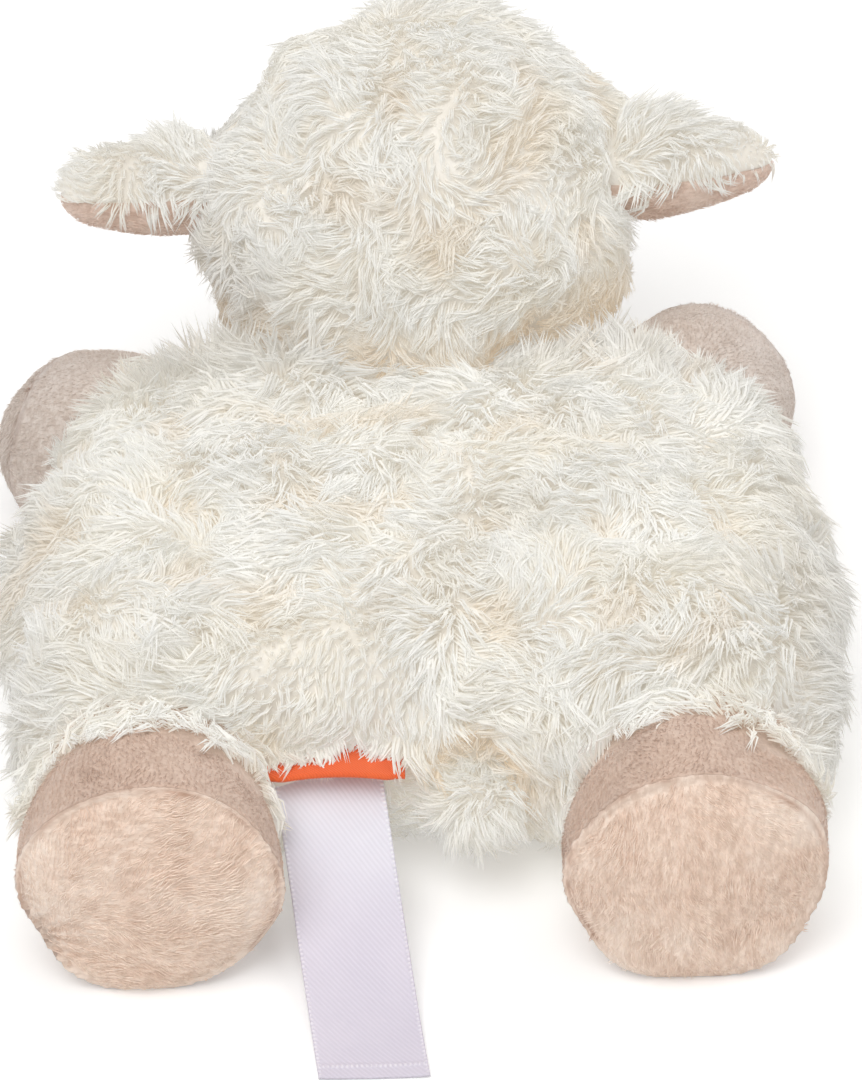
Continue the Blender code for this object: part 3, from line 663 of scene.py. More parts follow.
# Height of the tab's upper layer where it leaves the seam.
def tabTop(x):
    across = np.clip((x - tabSizes["side"]) / (tabSizes["width"] / 2), -1, 1)
    arch = tabSizes["arch"] * (1 - across**2)
    return tabSizes["height"] + arch + tabSizes["fold"] / 2 + tabSizes["cloth"]


# The comb, length and lift of the fur at each point of the body.
def combBody():
    mesh = bodyCoat.data
    points = readPoints(mesh)
    x, y, z = points.T
    flow = np.stack([x * 9, 0.55 + y * 4, -0.25 - 0.6 * fall(z, 0.02, 0.06)], axis=1)
    flow[:, 1] -= 1.1 * ease(-y, *bodyNap["turnsForward"])
    swirl = sum(waves(points, size, seed) * turn for size, seed, turn in bodyNap["whorls"])
    for sign in sides.values():
        away = np.hypot(x - sign * hindSizes["side"], z - hindSizes["height"])
        swirl *= 1 - 0.85 * ease(y, *bodyNap["rump"]) * (away < 0.05)
    fromTab = np.abs(x - tabSizes["side"])
    swirl *= 1 - 0.92 * fall(fromTab, 0.024, 0.034) * ease(y, 0.05, 0.062) * ease(z, 0.035, 0.044)
    crest = ease(-y, *bodyNap["crestAhead"]) * ease(z, *bodyNap["crestUp"])
    crest *= fall(np.abs(x), *bodyNap["crestSide"])
    fromTail = np.hypot(x + bodyNap["tail"][0], z - bodyNap["tail"][1])
    nearTab = fall(fromTab, 0.018, 0.030) * ease(y, 0.045, 0.062) * ease(z, 0.03, 0.04)
    nearTail = fall(fromTail, 0.012, 0.024) * ease(y, 0.05, 0.06)
    length = bodyNap["length"] + bodyNap["uneven"] * waves(points, 0.022, 13)
    length *= 1 - bodyNap["bellyShorter"] * fall(z, 0.008, 0.03)
    length *= (1 - bodyNap["tabShorter"] * nearTab) * (1 - bodyNap["tailShorter"] * nearTail)
    length *= 1 + bodyNap["crestLength"] * crest
    lift = 1 + bodyNap["bunched"] * waves(points, 0.012, 14) + bodyNap["crestLift"] * crest
    storeNap(mesh, flow, swirl, length, lift)
    # Painted shade in the creases: at the neck under the head, in the hollows between tufts and round
    # the tail
    neck = ease(-y, 0.070, 0.088) * fall(np.abs(x), 0.02, 0.07) * ease(z, 0.02, 0.05)
    hollows = ease(-waves(points, bodySizes["tuftWidth"], 4), 0.7, 1.5)
    fromRing = np.hypot(x + bodyNap["tail"][0] - 0.001, z - bodyNap["tail"][1])
    tail = ease(y, 0.045, 0.060) * peak(fromRing, *bodyNap["tailRing"])
    parts = zip(bodyNap["creaseShades"], (neck, hollows, tail))
    creaseShade = sum(strength * part for strength, part in parts)
    storeFloat(mesh, "furCrease", np.clip(creaseShade, 0, 1))
    shade = 0.5 * ease(np.abs(x), 0.085, 0.11) + 0.12 * (waves(points, 0.03, 15) > 0.4)
    storeFloat(mesh, "furShade", shade + bodyNap["crestShade"] * crest)
    share = ease(z, 0.003, 0.008) * 1.0
    for side in sides:
        share[insideLeg(points, hindSizes, side, (0, 1, 0), *bodyNap["hindGap"])] = 0
        share[insideLeg(points, foreSizes, side, foreHeading(side), *bodyNap["foreGap"])] = 0
    rear, (reach, low) = y > 0.055, bodyNap["tabGap"]
    share[(fromTab < reach) & rear & (z > low) & (z < tabTop(x) + 0.0004)] = 0
    middle, reach, low, high = bodyNap["labelGap"]
    share[(np.abs(x - middle) < reach) & rear & (z > low) & (z < high)] = 0
    return points, share


points, share = combBody()
x, y, z = points.T
bodyFur = {
    "Spacing": bodyNap["spacing"], "Lift": bodyNap["lift"],
    "Stray": 0.5, "Wave": 0.0066, "Wave size": 0.010, "Ruffle": 0.0014, "Ruffle size": 0.004,
}
left, front, rear = x >= 0, y < -bodyNap["endZones"], y >= bodyNap["endZones"]
outer = np.where(left, x >= bodyNap["sideZones"], x <= -bodyNap["sideZones"])
middle = ~front & ~rear
zones = {
    "backFurFrontLeft": left & front,
    "backFurFrontRight": ~left & front,
    "backFurMiddleLeft": left & middle & outer,
    "backFurCentreLeft": left & middle & ~outer,
    "backFurCentreRight": ~left & middle & ~outer,
    "backFurMiddleRight": ~left & middle & outer,
    "rearFurLeft": left & rear,
    "rearFurRight": ~left & rear,
}
for number, (name, zone) in enumerate(zones.items()):
    fur = growFur(name, bodyCoat.data, furTree, share * zone, bodyFur, 100 + number, furMaterial)
    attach(fur, "body")


# Short wisps of back fur that lie over the upper layer of the tab.
def buildFringe():
    bed = bodyCoat.data.copy()
    points = readPoints(bed)
    x, y, z = points.T
    length = 0.70 + 0.14 * waves(points, 0.006, 17) + 0.22 * ease(-x, -0.018, -0.008)
    lift = 1 + 0.15 * waves(points, 0.010, 18)
    storeNap(bed, (0.05, 0.4, -0.9), waves(points, 0.012, 16) * 0.5, length, lift)
    above = z - tabTop(x)
    share = 1.0 * (np.abs(x - 0.022) < 0.0245) * (y > 0.055) * (above > 0.0002) * (above < 0.0060)
    values = {
        "Spacing": 0.0014, "Lift": 0.70, "Stray": 0.6, "Smallest": 0.6,
        "Wave": 0.0030, "Wave size": 0.009,
    }
    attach(growFur("tabFringe", bed, furTree, share, values, 150, furMaterial), "body")


buildFringe()


# Sizes of the ears, which the hood's fur leaves room for
earSizes = {
    "root": 0.0145, "swell": 0.0165, "swellPlace": 0.013, "length": 0.042,
    "end": 0.0105, "crown": 0.0075,
    "flatness": 0.86,
    "side": 0.0555, "back": 0.002, "rise": 0.017,
    "tilt": 16,
    "droop": {"left": 4, "right": -3},
    "furSpacing": 0.0018,
    "sag": {"left": 0.0010, "right": 0.0003},   # how far the lining hangs below the seam
    "rootFur": {"left": 0.2, "right": 0.6},     # how much longer the fur is at the root
}


# Head: a round fur hood sewn round a short pile face
headSizes = {
    "centre": (0, -0.119, 0.085),
    "radius": 0.063,
    "muzzleLength": 0.014,
    "muzzleDrop": 20,
    "muzzleSpread": 29,
    "faceHalfWidth": 0.041,
    "faceHalfHeight": 0.047,
    "faceDrop": 8,
    "lumps": 0.0012,
    "tufts": 0.0010,
    "slope": 0.0030,        # how far the left of the crown slopes in
    "eyeSide": 28,          # degrees from the middle of the face
    "eyeRise": 14,
    "muzzleRise": -20,
}
# How the hood's fur lies
headNap = {
    "spacing": 0.0020,
    "lift": 0.40,
    "length": 0.78,
    "uneven": 0.12,
    "bunched": 0.60,
    "whorls": ((0.024, 22, 1.3), (0.011, 23, 0.9)),     # size, seed and turn
    "crown": (0.012, -0.020, 0.060),    # where the fur parts, from the head's middle
    "faceShorter": 0.25, "slopeShorter": 0.18, "slopeFlatter": 0.5, "napeFlatter": 0.45,
    "sideZones": 0.028, "topZone": 0.095,       # where the fur is parted into pieces
    "zoneLap": 0.0002,      # how far the middle pieces reach into the right one
}
headCentre = np.array(headSizes["centre"])


def headRadius(directions):
    drop = math.radians(headSizes["muzzleDrop"])
    muzzle = np.array([0, -math.cos(drop), -math.sin(drop)])
    away = np.arccos(np.clip(directions @ muzzle, -1, 1)) / math.radians(headSizes["muzzleSpread"])
    return headSizes["radius"] + headSizes["muzzleLength"] * np.exp(-(away**4))


def faceAxes():
    drop = math.radians(headSizes["faceDrop"])
    ahead = np.array([0, -math.cos(drop), -math.sin(drop)])
    across = np.array([1.0, 0, 0])
    return across, np.cross(ahead, across), ahead


# How far out from the middle of the face each point is, 1 at its seam.
def facePlace(points):
    across, upward, ahead = faceAxes()
    offset = points - headCentre
    x, y = offset @ across / headSizes["faceHalfWidth"], offset @ upward / headSizes["faceHalfHeight"]
    return np.where(offset @ ahead > 0, np.hypot(x, y), 9)


# 1 on the left of the crown, which is flatter than the right and lies smoother.
def leftSlope(points):
    return ease(unit(points - headCentre) @ unit(np.array([0.62, -0.42, 0.66])), 0.74, 0.95)


def buildHeadCoat():
    corners, faces = cubeCage(44)
    directions = unit(np.tan(corners * math.pi / 4))
    points = headCentre + directions * (headRadius(directions) - 0.0006)[:, None]
    lumps = waves(points, 0.026, 21) * headSizes["lumps"]
    lumps += waves(points, 0.013, 26) * headSizes["tufts"]
    face = facePlace(points)
    raised = lumps * ease(face, 1.0, 1.3) - 0.0014 * fall(face, 0.97, 1.03)
    points += directions * raised[:, None]
    low = fall(points[:, 2], 0.070, 0.100) * ease(points[:, 1], -0.135, -0.115)
    points[:, 0] *= 1 - low * np.where(points[:, 0] < 0, 0.055, 0.015)
    points -= directions * (headSizes["slope"] * leftSlope(points))[:, None]
    return addPiece("headCoat", meshFrom("headCoat", points, faces), backingMaterial)


headCoat = buildHeadCoat()
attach(headCoat, "head")
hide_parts("head_hood", "head_stuffing")
print("head coat", len(headCoat.data.polygons), flush=True)


def combHead():
    mesh = headCoat.data
    points = readPoints(mesh)
    x, y, z = points.T
    flow = unit(points - headCentre - np.array(headNap["crown"])) + np.array([0.25, 0.1, -0.5])
    face, slope = facePlace(points), leftSlope(points)
    swirl = sum(waves(points, size, seed) * turn for size, seed, turn in headNap["whorls"])
    nape = fall(z, 0.065, 0.095) * ease(y, -0.135, -0.11)
    length = headNap["length"] + headNap["uneven"] * waves(points, 0.02, 24)
    length -= headNap["faceShorter"] * fall(face, 1.0, 1.25)
    length *= 1 - nape * (0.20 + 0.25 * ease(-x, 0.0, 0.03))
    length *= 1 - headNap["slopeShorter"] * slope
    lift = 1 + headNap["bunched"] * waves(points, 0.012, 25)
    lift *= (1 - headNap["napeFlatter"] * nape) * (1 - headNap["slopeFlatter"] * slope)
    storeNap(mesh, flow, swirl * ease(face, 1.0, 1.5), length, lift)
    # Painted shade under the head at the nape and in the hollows between tufts
    creaseShade = 0.95 * fall(z, 0.062, 0.098) * ease(y, -0.12, -0.09)
    creaseShade += 0.30 * ease(-waves(points, 0.013, 26), 0.7, 1.5)
    storeFloat(mesh, "furCrease", np.clip(creaseShade, 0, 1))
    storeFloat(mesh, "furShade", 0.14 + 0.80 * ease(x, 0.020, 0.055) * fall(z, 0.085, 0.125))
    share = ease(face, 0.99, 1.03)
    for sign in sides.values():
        root = headCentre + np.array([sign * earSizes["side"], earSizes["back"], earSizes["rise"]])
        share[np.linalg.norm(points - root, axis=1) < 0.0125] = 0
    return points, share


points, share = combHead()
headFur = {
    "Spacing": headNap["spacing"], "Lift": headNap["lift"],
    "Stray": 0.6, "Wave": 0.0066, "Wave size": 0.009, "Ruffle": 0.0014, "Ruffle size": 0.004,
}
x, y, z = points.T
side, top = headNap["sideZones"], z >= headNap["topZone"]
middle = (x < side) & (x > -side - headNap["zoneLap"])
zones = {
    "headFurLeft": x >= side,
    "headFurRight": x < -side,
    "headFurTop": middle & top,
    "headFurNape": middle & ~top,
}
for number, (name, zone) in enumerate(zones.items()):
    fur = growFur(name, headCoat.data, furTree, share * zone, headFur, 200 + number, furMaterial)
    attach(fur, "head")


# Neck: a soft wad between head and body
neckSizes = {"slope": 37, "reach": 0.050, "radius": 0.024, "halfLength": 0.014}


def buildNeck():
    corners, faces = cubeCage(12)
    directions = unit(np.tan(corners * math.pi / 4))
    slope = math.radians(neckSizes["slope"])
    heading = np.array([0, math.cos(slope), -math.sin(slope)])
    centre = headCentre + heading * neckSizes["reach"]
    shorter = (directions @ heading) * (neckSizes["radius"] - neckSizes["halfLength"])
    points = centre + directions * neckSizes["radius"] - heading * shorter[:, None]
    return addPiece("neckWad", meshFrom("neckWad", points, faces), backingMaterial)


neckWad = buildNeck()
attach(neckWad, "neck")
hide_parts("neck_wad")


# Fur round the neck, which fills the gap between hood and back at every pose.
def growNeckFur():
    mesh = neckWad.data
    points = readPoints(mesh)
    length = 0.80 + 0.15 * waves(points, 0.014, 28)
    lift = 1.4 + 0.4 * waves(points, 0.014, 29)
    storeNap(mesh, (0.0, 0.5, -0.9), waves(points, 0.016, 27) * 1.1, length, lift)
    # Painted shade over the neck fur, which lies in the crease under the head
    storeFloat(mesh, "furCrease", 0.5 + 0 * points[:, 0])
    share = ease(points[:, 2], 0.010, 0.016)
    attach(growFur("neckFur", mesh, furTree, share, headFur, 250, furMaterial), "neck")


growNeckFur()
print("neck", flush=True)


# Limbs: turned profiles in the CAD's own frames
def limbRadius(limb, height):
    if height <= limb["swellPlace"]:
        share = max(height, 0) / limb["swellPlace"]
        return limb["root"] + (limb["swell"] - limb["root"]) * share**2 * (3 - 2 * share)
    past = (height - limb["swellPlace"]) / (limb["length"] - limb["swellPlace"])
    return limb["swell"] - (limb["swell"] - limb["end"]) * past**2


# From the pole of the root ball up to its widest ring.
def rootBall(limb, rings=8):
    angles = [math.pi / 2 * (1 - ring / rings) for ring in range(rings)]
    return [(limb["root"] * math.cos(a), -limb["root"] * math.sin(a)) for a in angles]


# A low dome from its rim to its pole.
def crownDome(radius, base, crown, rings=14):
    shares = [math.sin(math.pi / 2 * (1 - ring / rings)) for ring in range(rings + 1)]
    return [(radius * share, base + crown * (1 - share**2.4)) for share in shares]


def wholeLimb(limb, rings=18):
    heights = [limb["length"] * ring / rings for ring in range(rings)]
    side = [(limbRadius(limb, height), height) for height in heights]
    return rootBall(limb) + side + crownDome(limb["end"], limb["length"], limb["crown"])


# Ears: fur on top, short pile below, sewn round the edge
def buildEar(side):
    sign = sides[side]
    tilt, droop = math.radians(earSizes["tilt"]), math.radians(earSizes["droop"][side])
    heading = (sign * math.cos(droop), 0, -math.sin(droop))
    place = Vector(headSizes["centre"])
    place += Vector((sign * earSizes["side"], earSizes["back"], earSizes["rise"]))
    matrix = facing(heading, place, (0, math.cos(tilt), math.sin(tilt)))

    def halves(upper):
        def shape(points):
            lumps = waves(points + sign, 0.016, 31) * 0.0005
            points[:, 1] *= earSizes["flatness"]
            inner = points[:, 1] * sign
            if upper:
                points[:, :2] *= (1 - 0.0006 / 0.0165)
                points[:, 1] = np.where(inner < 0, -0.0004 * sign, points[:, 1] + lumps)
            else:
                full = 1 + earSizes["sag"][side] / earSizes["swell"]
                points[:, 1] = np.where(inner > 0, 0.0004 * sign, points[:, 1] * full + lumps)
            return points
        return shape

    coat = lathe(f"ear{side.title()}Coat", wholeLimb(earSizes), 64, matrix, halves(True))
    coat = addPiece(coat.name, coat, backingMaterial)
    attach(coat, f"ear_{side}")
    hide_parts(f"ear_{side}_back")
    lining = lathe(f"ear{side.title()}Lining", wholeLimb(earSizes), 64, matrix, halves(False))
    lining = addPiece(lining.name, lining, earPile)
    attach(lining, f"ear_{side}")
    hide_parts(f"ear_{side}_lining")
    points = readPoints(coat.data)
    local = inFrame(points, matrix)
    tip = ease(local[:, 2], 0.026, 0.044)
    rootFur = earSizes["rootFur"][side] * fall(local[:, 2], 0.012, 0.028)
    flow = np.array(heading) * (0.8 - 0.6 * tip)[:, None] + np.array([0, 0.45, -0.75])
    length = (0.60 + 0.10 * waves(points, 0.012, 34)) * (1 - 0.25 * tip) * (1 + rootFur)
    lift = 0.9 + 0.25 * waves(points, 0.012, 35)
    storeNap(coat.data, flow, waves(points, 0.014, 33) * 1.0, length, lift)
    storeFloat(coat.data, "furShade", 0.22 + 0 * points[:, 0])
    share = (local[:, 1] * sign > -0.0003) * ease(local[:, 2], 0.002, 0.006)
    values = {"Spacing": earSizes["furSpacing"], "Lift": 0.52, "Wave": 0.0040, "Wave size": 0.008}
    name = f"ear{side.title()}Fur"
    fur = growFur(name, coat.data, furTree, share, values, 300 + sign, furMaterial)
    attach(fur, f"ear_{side}")
    local = inFrame(readPoints(lining.data), matrix)
    share = (local[:, 1] * sign < -0.0008) * ease(local[:, 2], 0.002, 0.006)
    growPile(
        f"ear{side.title()}Pile", lining, f"ear_{side}", np.array(heading), share, earPile,
        spacing=0.0012, length=0.6, seed=90 + sign,
    )


pileColours = {
    "sleeve": ((0.78, 0.62, 0.52), (0.66, 0.505, 0.42), (0.82, 0.67, 0.58)),
    "paw": ((0.80, 0.735, 0.685), (0.70, 0.625, 0.575), (0.87, 0.81, 0.77)),
    "ear": ((0.91, 0.75, 0.66), (0.78, 0.60, 0.51), (0.95, 0.83, 0.75)),
    "sole": ((1.0, 0.875, 0.775), (0.89, 0.725, 0.615), (1.0, 0.94, 0.87)),
    # Painted shade between the tufts, at their roots
    "root": (0.88, 0.85, 0.83),   # between the tufts
    "streak": (0.84, 0.80, 0.77),  # fine darker lines along the nap
    # Painted highlight on the rolled edge of a seam
    "rim": (1.13, 1.12, 1.12),    # on the rolled edge of a seam
    # Painted shade in the groove beside a seam
    "seam": (0.62, 0.50, 0.44),   # in the groove beside a seam
}


# Short plush pile: even colour, rubbed paler in places, with painted shade between the tufts and
# beside seams, a painted highlight on a seam's rolled edge and painted light from its glow.
def makePileMaterial(name, colours, stretch, glow=0.04):
    light, dark, rub = colours
    material, tree, surface = startMaterial(name, 0.9, sheen=0.45, sheenTint=(1.0, 0.95, 0.92))
    place = objectPlace(tree)
    nap = objectPlace(tree, stretch)
    streaks = noise(tree, nap, 260, 3, 0.6, 0.4)
    colour = mixColour(tree, span(tree, streaks, 0.3, 0.75, 0.35, 1.0), dark, light)
    fine = span(tree, noise(tree, nap, 620, 3, 0.7, 0.3), 0.40, 0.62, 1.0, 0.0)
    colour = mixColour(tree, fine, colour, pileColours["streak"], "MULTIPLY")
    rubbed = noise(tree, place, 30, 3)
    colour = mixColour(tree, span(tree, rubbed, 0.45, 0.75, 0.0, 0.5), colour, rub)
    along = readAttribute(tree, "rootToTip")
    tint = readAttribute(tree, "lockTint")
    shade = mixColour(tree, span(tree, tint, 0, 1), (0.90, 0.89, 0.88), (1.0, 1.0, 1.0))
    # Painted shade at the root of each tuft
    shade = mixColour(tree, span(tree, along, 0.0, 0.6), pileColours["root"], shade)
    colour = mixColour(tree, 1.0, colour, shade, "MULTIPLY")
    groove = readAttribute(tree, "seamShade")
    colour = mixColour(tree, groove, colour, pileColours["seam"], "MULTIPLY")
    rim = readAttribute(tree, "seamRim")
    colour = mixColour(tree, rim, colour, pileColours["rim"], "MULTIPLY")
    # The glow is painted light, standing in for light passed between the fibres
    paint(tree, surface, colour, glow)
    tips = noise(tree, nap, 900, 2)
    addBump(tree, surface, [(streaks, 0.0005, 0.5), (tips, 0.0003, 0.5)])
    return material


tuftSizes = {
    "strands": 3, "length": 0.0030, "rootSpread": 0.00040, "strandRadius": 0.00024, "variants": 4,
}


# A tuft of plush: a few short cones that lean together.
def makeTuft(name, sizes, seed):
    rng = np.random.default_rng(seed)
    points, faces, along = [], [], []
    for strand in range(sizes["strands"]):
        angle = strand / sizes["strands"] * math.tau + rng.uniform(-0.5, 0.5)
        x, y = (sizes["rootSpread"] * turn for turn in (math.cos(angle), math.sin(angle)))
        first = len(points)
        points += threeRound((x, y, 0), angle, sizes["strandRadius"])
        aside = rng.uniform(-1, 1) * 0.0003
        points.append((x * 0.7 - 0.0001, y * 0.7 + aside, sizes["length"] * rng.uniform(0.8, 1.1)))
        along += [0, 0, 0, 1]
        faces.append([first + 2, first + 1, first])
        faces += [[first + corner, first + (corner + 1) % 3, first + 3] for corner in range(3)]
    mesh = meshFrom(name, points, faces)
    storeFloat(mesh, "rootToTip", along)
    return mesh


tuftHome = lockCollection("plushTuft", tuftSizes, 70, makeTuft)


# Short plush on a finished piece; comb gives the nap at its points.
def growPile(name, piece, body, comb, share, material, spacing=0.00105, length=1.0, seed=1):
    mesh = piece.data
    points = readPoints(mesh)
    lengths = length * (1 + 0.12 * waves(points, 0.01, seed + 1))
    lifts = 1 + 0.25 * waves(points, 0.008, seed + 2)
    storeNap(mesh, comb, waves(points, 0.012, seed) * 0.35, lengths, lifts)
    tree = pileTrees.get(material.name)
    if tree is None:
        tree = buildGrowTree("growPile" + material.name, tuftHome, material)
        pileTrees[material.name] = tree
    values = {
        "Spacing": spacing, "Lift": 0.30, "Stray": 0.35,
        "Wave": 0.0003, "Wave size": 0.004, "Ruffle": 0.0003,
    }
    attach(growFur(name, mesh, tree, share, values, seed, material), body)


pileTrees = {}
sleevePile = makePileMaterial("sleevePile", pileColours["sleeve"], (1, 1, 1))
pawPile = makePileMaterial("pawPile", pileColours["paw"], (1, 1, 0.6))
earPile = makePileMaterial("earPile", pileColours["ear"], (0.5, 1, 1))
for side in sides:
    buildEar(side)
print("ears", flush=True)


# Legs: a short pile sleeve with a domed sole behind a seam
seamSizes = {
    "ridge": 0.0010,       # how far the seam's rolled edge stands out
    "roll": 0.0022,
    "fullness": 0.0024,    # how far a stuffed sole domes out past the CAD's
    "pucker": 0.00032,
    "puckers": 53,
    "steps": 140,
    # Width of the painted shade beside the seam
    "groove": 0.0011,      # width of the dark line beside the seam
    "gather": 0.0011,      # depth of the folds round the place where the nap fans out
}
# Where the nap of each hind sole fans out from, across and up from its middle
fans = {"left": (0.036, -0.018), "right": (0.010, 0.055)}


def sleeveProfile(limb):
    rings = 26
    profile = rootBall(limb)
    for ring in range(rings + 1):
        height = (limb["length"] - 0.0001) * ring / rings
        lift = seamSizes["ridge"] * peak(height, limb["length"], seamSizes["roll"])
        profile.append((limbRadius(limb, height) + lift, height))
    profile.append((limb["end"] - 0.003, limb["length"] - 0.0002))
    profile.append((0, limb["length"] - 0.0004))
    return profile


def soleProfile(limb):
    base = limb["length"] + 0.0001
    rim = limb["end"] + seamSizes["ridge"]
    crown = limb["crown"] + seamSizes["fullness"]
    profile = [(0, base), (rim - 0.003, base), (rim - 0.0002, base)]
    rings = 26
    for ring in range(rings + 1):
        share = math.sin(math.pi / 2 * (1 - ring / rings))
        stitch = 0.0007 * peak((1 - share) * rim / 0.0016, 1.1, 1)
        profile.append((rim * share, base + crown * (1 - share**2.2) - stitch))
    profile[-1] = (0, profile[-1][1])
    return profile


# Small gathers in the cloth on both sides of the seam.
def puckered(limb, seed):
    def shape(points):
        angle = np.arctan2(points[:, 1], points[:, 0])
        radius = np.hypot(points[:, 0], points[:, 1])
        ring = np.stack([np.cos(angle), np.sin(angle), 0 * angle], axis=1)
        folds = np.sin(angle * seamSizes["puckers"] + waves(ring, 0.6, seed) * 2.2)
        patch = 0.55 + 0.45 * waves(ring, 0.9, seed + 1)
        near = np.exp(-(np.abs(points[:, 2] - limb["length"]) / 0.0045))
        near *= ease(radius, 0.010, limb["end"])
        push = folds * patch * near * seamSizes["pucker"]
        lumps = waves(points, 0.018, seed + 2) * 0.0006 * ease(radius, 0.0, 0.012)
        points[:, :2] += ring[:, :2] * (push + lumps)[:, None]
        points[:, 2] += np.where(points[:, 2] > limb["length"] + 0.0005, lumps + push * 0.7, 0)
        return points
    return shape


# Rests a limb on the table: its underside flattens and spreads a little.
def settleOnTable(mesh, middle, heading, spread, floor=0.0003):
    points = readPoints(mesh)
    low = fall(points[:, 2], 0.0, 0.020)
    ahead = np.array(heading, dtype=float)
    out = ease((points - np.array(middle)) @ ahead, 0.0, 0.035)
    points[:, :2] += ahead[:2] * (spread * low * out)[:, None]
    aside = np.array([-ahead[1], ahead[0]])
    across = (points[:, :2] - np.array(middle)[:2]) @ aside
    points[:, :2] += aside * (across * 0.07 * low)[:, None]
    points[:, 2] = np.maximum(points[:, 2], floor)
    writePoints(mesh, points)


# Body fur that laps over the root of a leg and moves with it.
def growCuff(name, node, limb, matrix, heading, low, high, seed):
    heights = np.linspace(low, high, 9)
    ring = [(limbRadius(limb, height) + 0.0004, height) for height in heights]
    bed = lathe(name + "Bed", [(0, low), *ring, (0, high)], 72, matrix)
    points = readPoints(bed)
    local = inFrame(points, matrix)
    length = 0.80 + 0.16 * waves(points, 0.010, seed + 1)
    lift = 1 + 0.3 * waves(points, 0.012, seed + 2)
    storeNap(bed, heading, waves(points, 0.018, seed) * 1.0, length, lift)
    side = np.hypot(local[:, 0], local[:, 1]) > limb["root"] * 0.9
    share = side * ease(points[:, 2], 0.002, 0.006) * fall(local[:, 2], high - 0.004, high + 0.0005)
    values = {"Spacing": 0.0021, "Lift": 0.24, "Stray": 0.9, "Wave": 0.0045, "Wave size": 0.011}
    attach(growFur(name, bed, furTree, share, values, seed, furMaterial), node)


# Folds that run out from the place where a hind sole's nap fans out.
def gatherSole(mesh, place, fan, seed):
    points = readPoints(mesh)
    across, up = points[:, 0] - place[0] - fan[0], points[:, 2] - place[2] - fan[1]
    away, angle = np.hypot(across, up), np.arctan2(up, across)
    folds = np.sin(angle * 17 + waves(points, 0.02, seed) * 0.8)
    outside = ease(points[:, 1] - place[1], hindSizes["length"] - 0.004, hindSizes["length"])
    points[:, 1] += folds * seamSizes["gather"] * peak(away, 0.009, 0.009) * outside
    writePoints(mesh, points)


def buildLeg(name, node, limb, heading, place, seed, sleeveCloth, soleCloth, spread, fan, cuff):
    matrix = facing(heading, place, (0, 0, 1))
    shape = puckered(limb, seed)
    sleeve = lathe(f"{name}Sleeve", sleeveProfile(limb), seamSizes["steps"], matrix, shape)
    sole = lathe(f"{name}Sole", soleProfile(limb), seamSizes["steps"], matrix, shape)
    for mesh, cloth, nodes in (
        (sleeve, sleeveCloth, (f"{node}_sleeve", f"{node}_stuffing")),
        (sole, soleCloth, (f"{node}_sole",)),
    ):
        settleOnTable(mesh, place, heading, spread)
        if fan and mesh is sole:
            gatherSole(mesh, place, fan, seed)
        piece = addPiece(mesh.name, mesh, cloth)
        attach(piece, node)
        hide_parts(*nodes)
        points = readPoints(mesh)
        local = inFrame(points, matrix)
        radius, height = np.hypot(local[:, 0], local[:, 1]), local[:, 2] - limb["length"]
        fromRim = radius - limb["end"] - seamSizes["ridge"]
        # Painted shade in the groove beside the seam
        groove = peak(np.hypot(fromRim + 0.0006, height - 0.0008), 0, seamSizes["groove"])
        storeFloat(mesh, "seamShade", groove * (0.75 + 0.35 * waves(points, 0.006, seed + 9)))
        # Painted highlight along the seam's rolled edge
        ridge = peak(np.hypot(fromRim, height + 0.0010), 0, 0.0010)
        storeFloat(mesh, "seamRim", ridge * (0.8 + 0.4 * waves(points, 0.008, seed + 8)))
        if mesh is sleeve:
            comb, length = np.array(heading, dtype=float), 0.6
            share = ease(local[:, 2], cuff[1] - 0.004, cuff[1]) * (height < -0.0004)
            share *= radius > limb["end"] - 0.002
        else:
            comb, length = np.array([0.0, 0.0, -1.0]), 0.95
            if fan:
                comb = points - (np.array(place) + np.array([fan[0], 0, fan[1]]))
                comb[:, 1] = 0
            share = 1.0 * (height > 0.0003) * (radius < limb["end"] + 0.0002)
        share *= ease(points[:, 2], 0.0005, 0.002)
        growPile(mesh.name + "Pile", piece, node, comb, share, cloth, length=length, seed=seed)
    growCuff(f"{name}Cuff", node, limb, matrix, heading, *cuff, seed + 7)


# The soles' stronger glow is painted light
soleLeftPile = makePileMaterial("solePileLeft", pileColours["sole"], (0.35, 1, 1), 0.10)
soleRightPile = makePileMaterial("solePileRight", pileColours["sole"], (1, 1, 0.35), 0.10)
for side, sign in sides.items():
    place = (sign * hindSizes["side"], hindSizes["behind"], hindSizes["height"])
    cloth = soleLeftPile if side == "left" else soleRightPile
    buildLeg(
        f"hind{side.title()}", f"hindleg_{side}", hindSizes, (0, 1, 0), place, 50 + sign,
        sleevePile, cloth, 0.004, fans[side], (-0.004, 0.0135),
    )
    place = (sign * foreSizes["side"], -foreSizes["ahead"], foreSizes["height"])
    buildLeg(
        f"fore{side.title()}", f"foreleg_{side}", foreSizes, foreHeading(side), place, 60 + sign,
        pawPile, pawPile, 0.001, None, (0.006, 0.031),
    )
print("legs", flush=True)


# Tail: a small round ball of fur
tailSizes = {
    "root": 0.007, "swell": 0.0095, "swellPlace": 0.009, "length": 0.013,
    "end": 0.0085, "crown": 0.006,
    "place": (-0.015, 0.069, 0.034),
    "drop": 35,
}


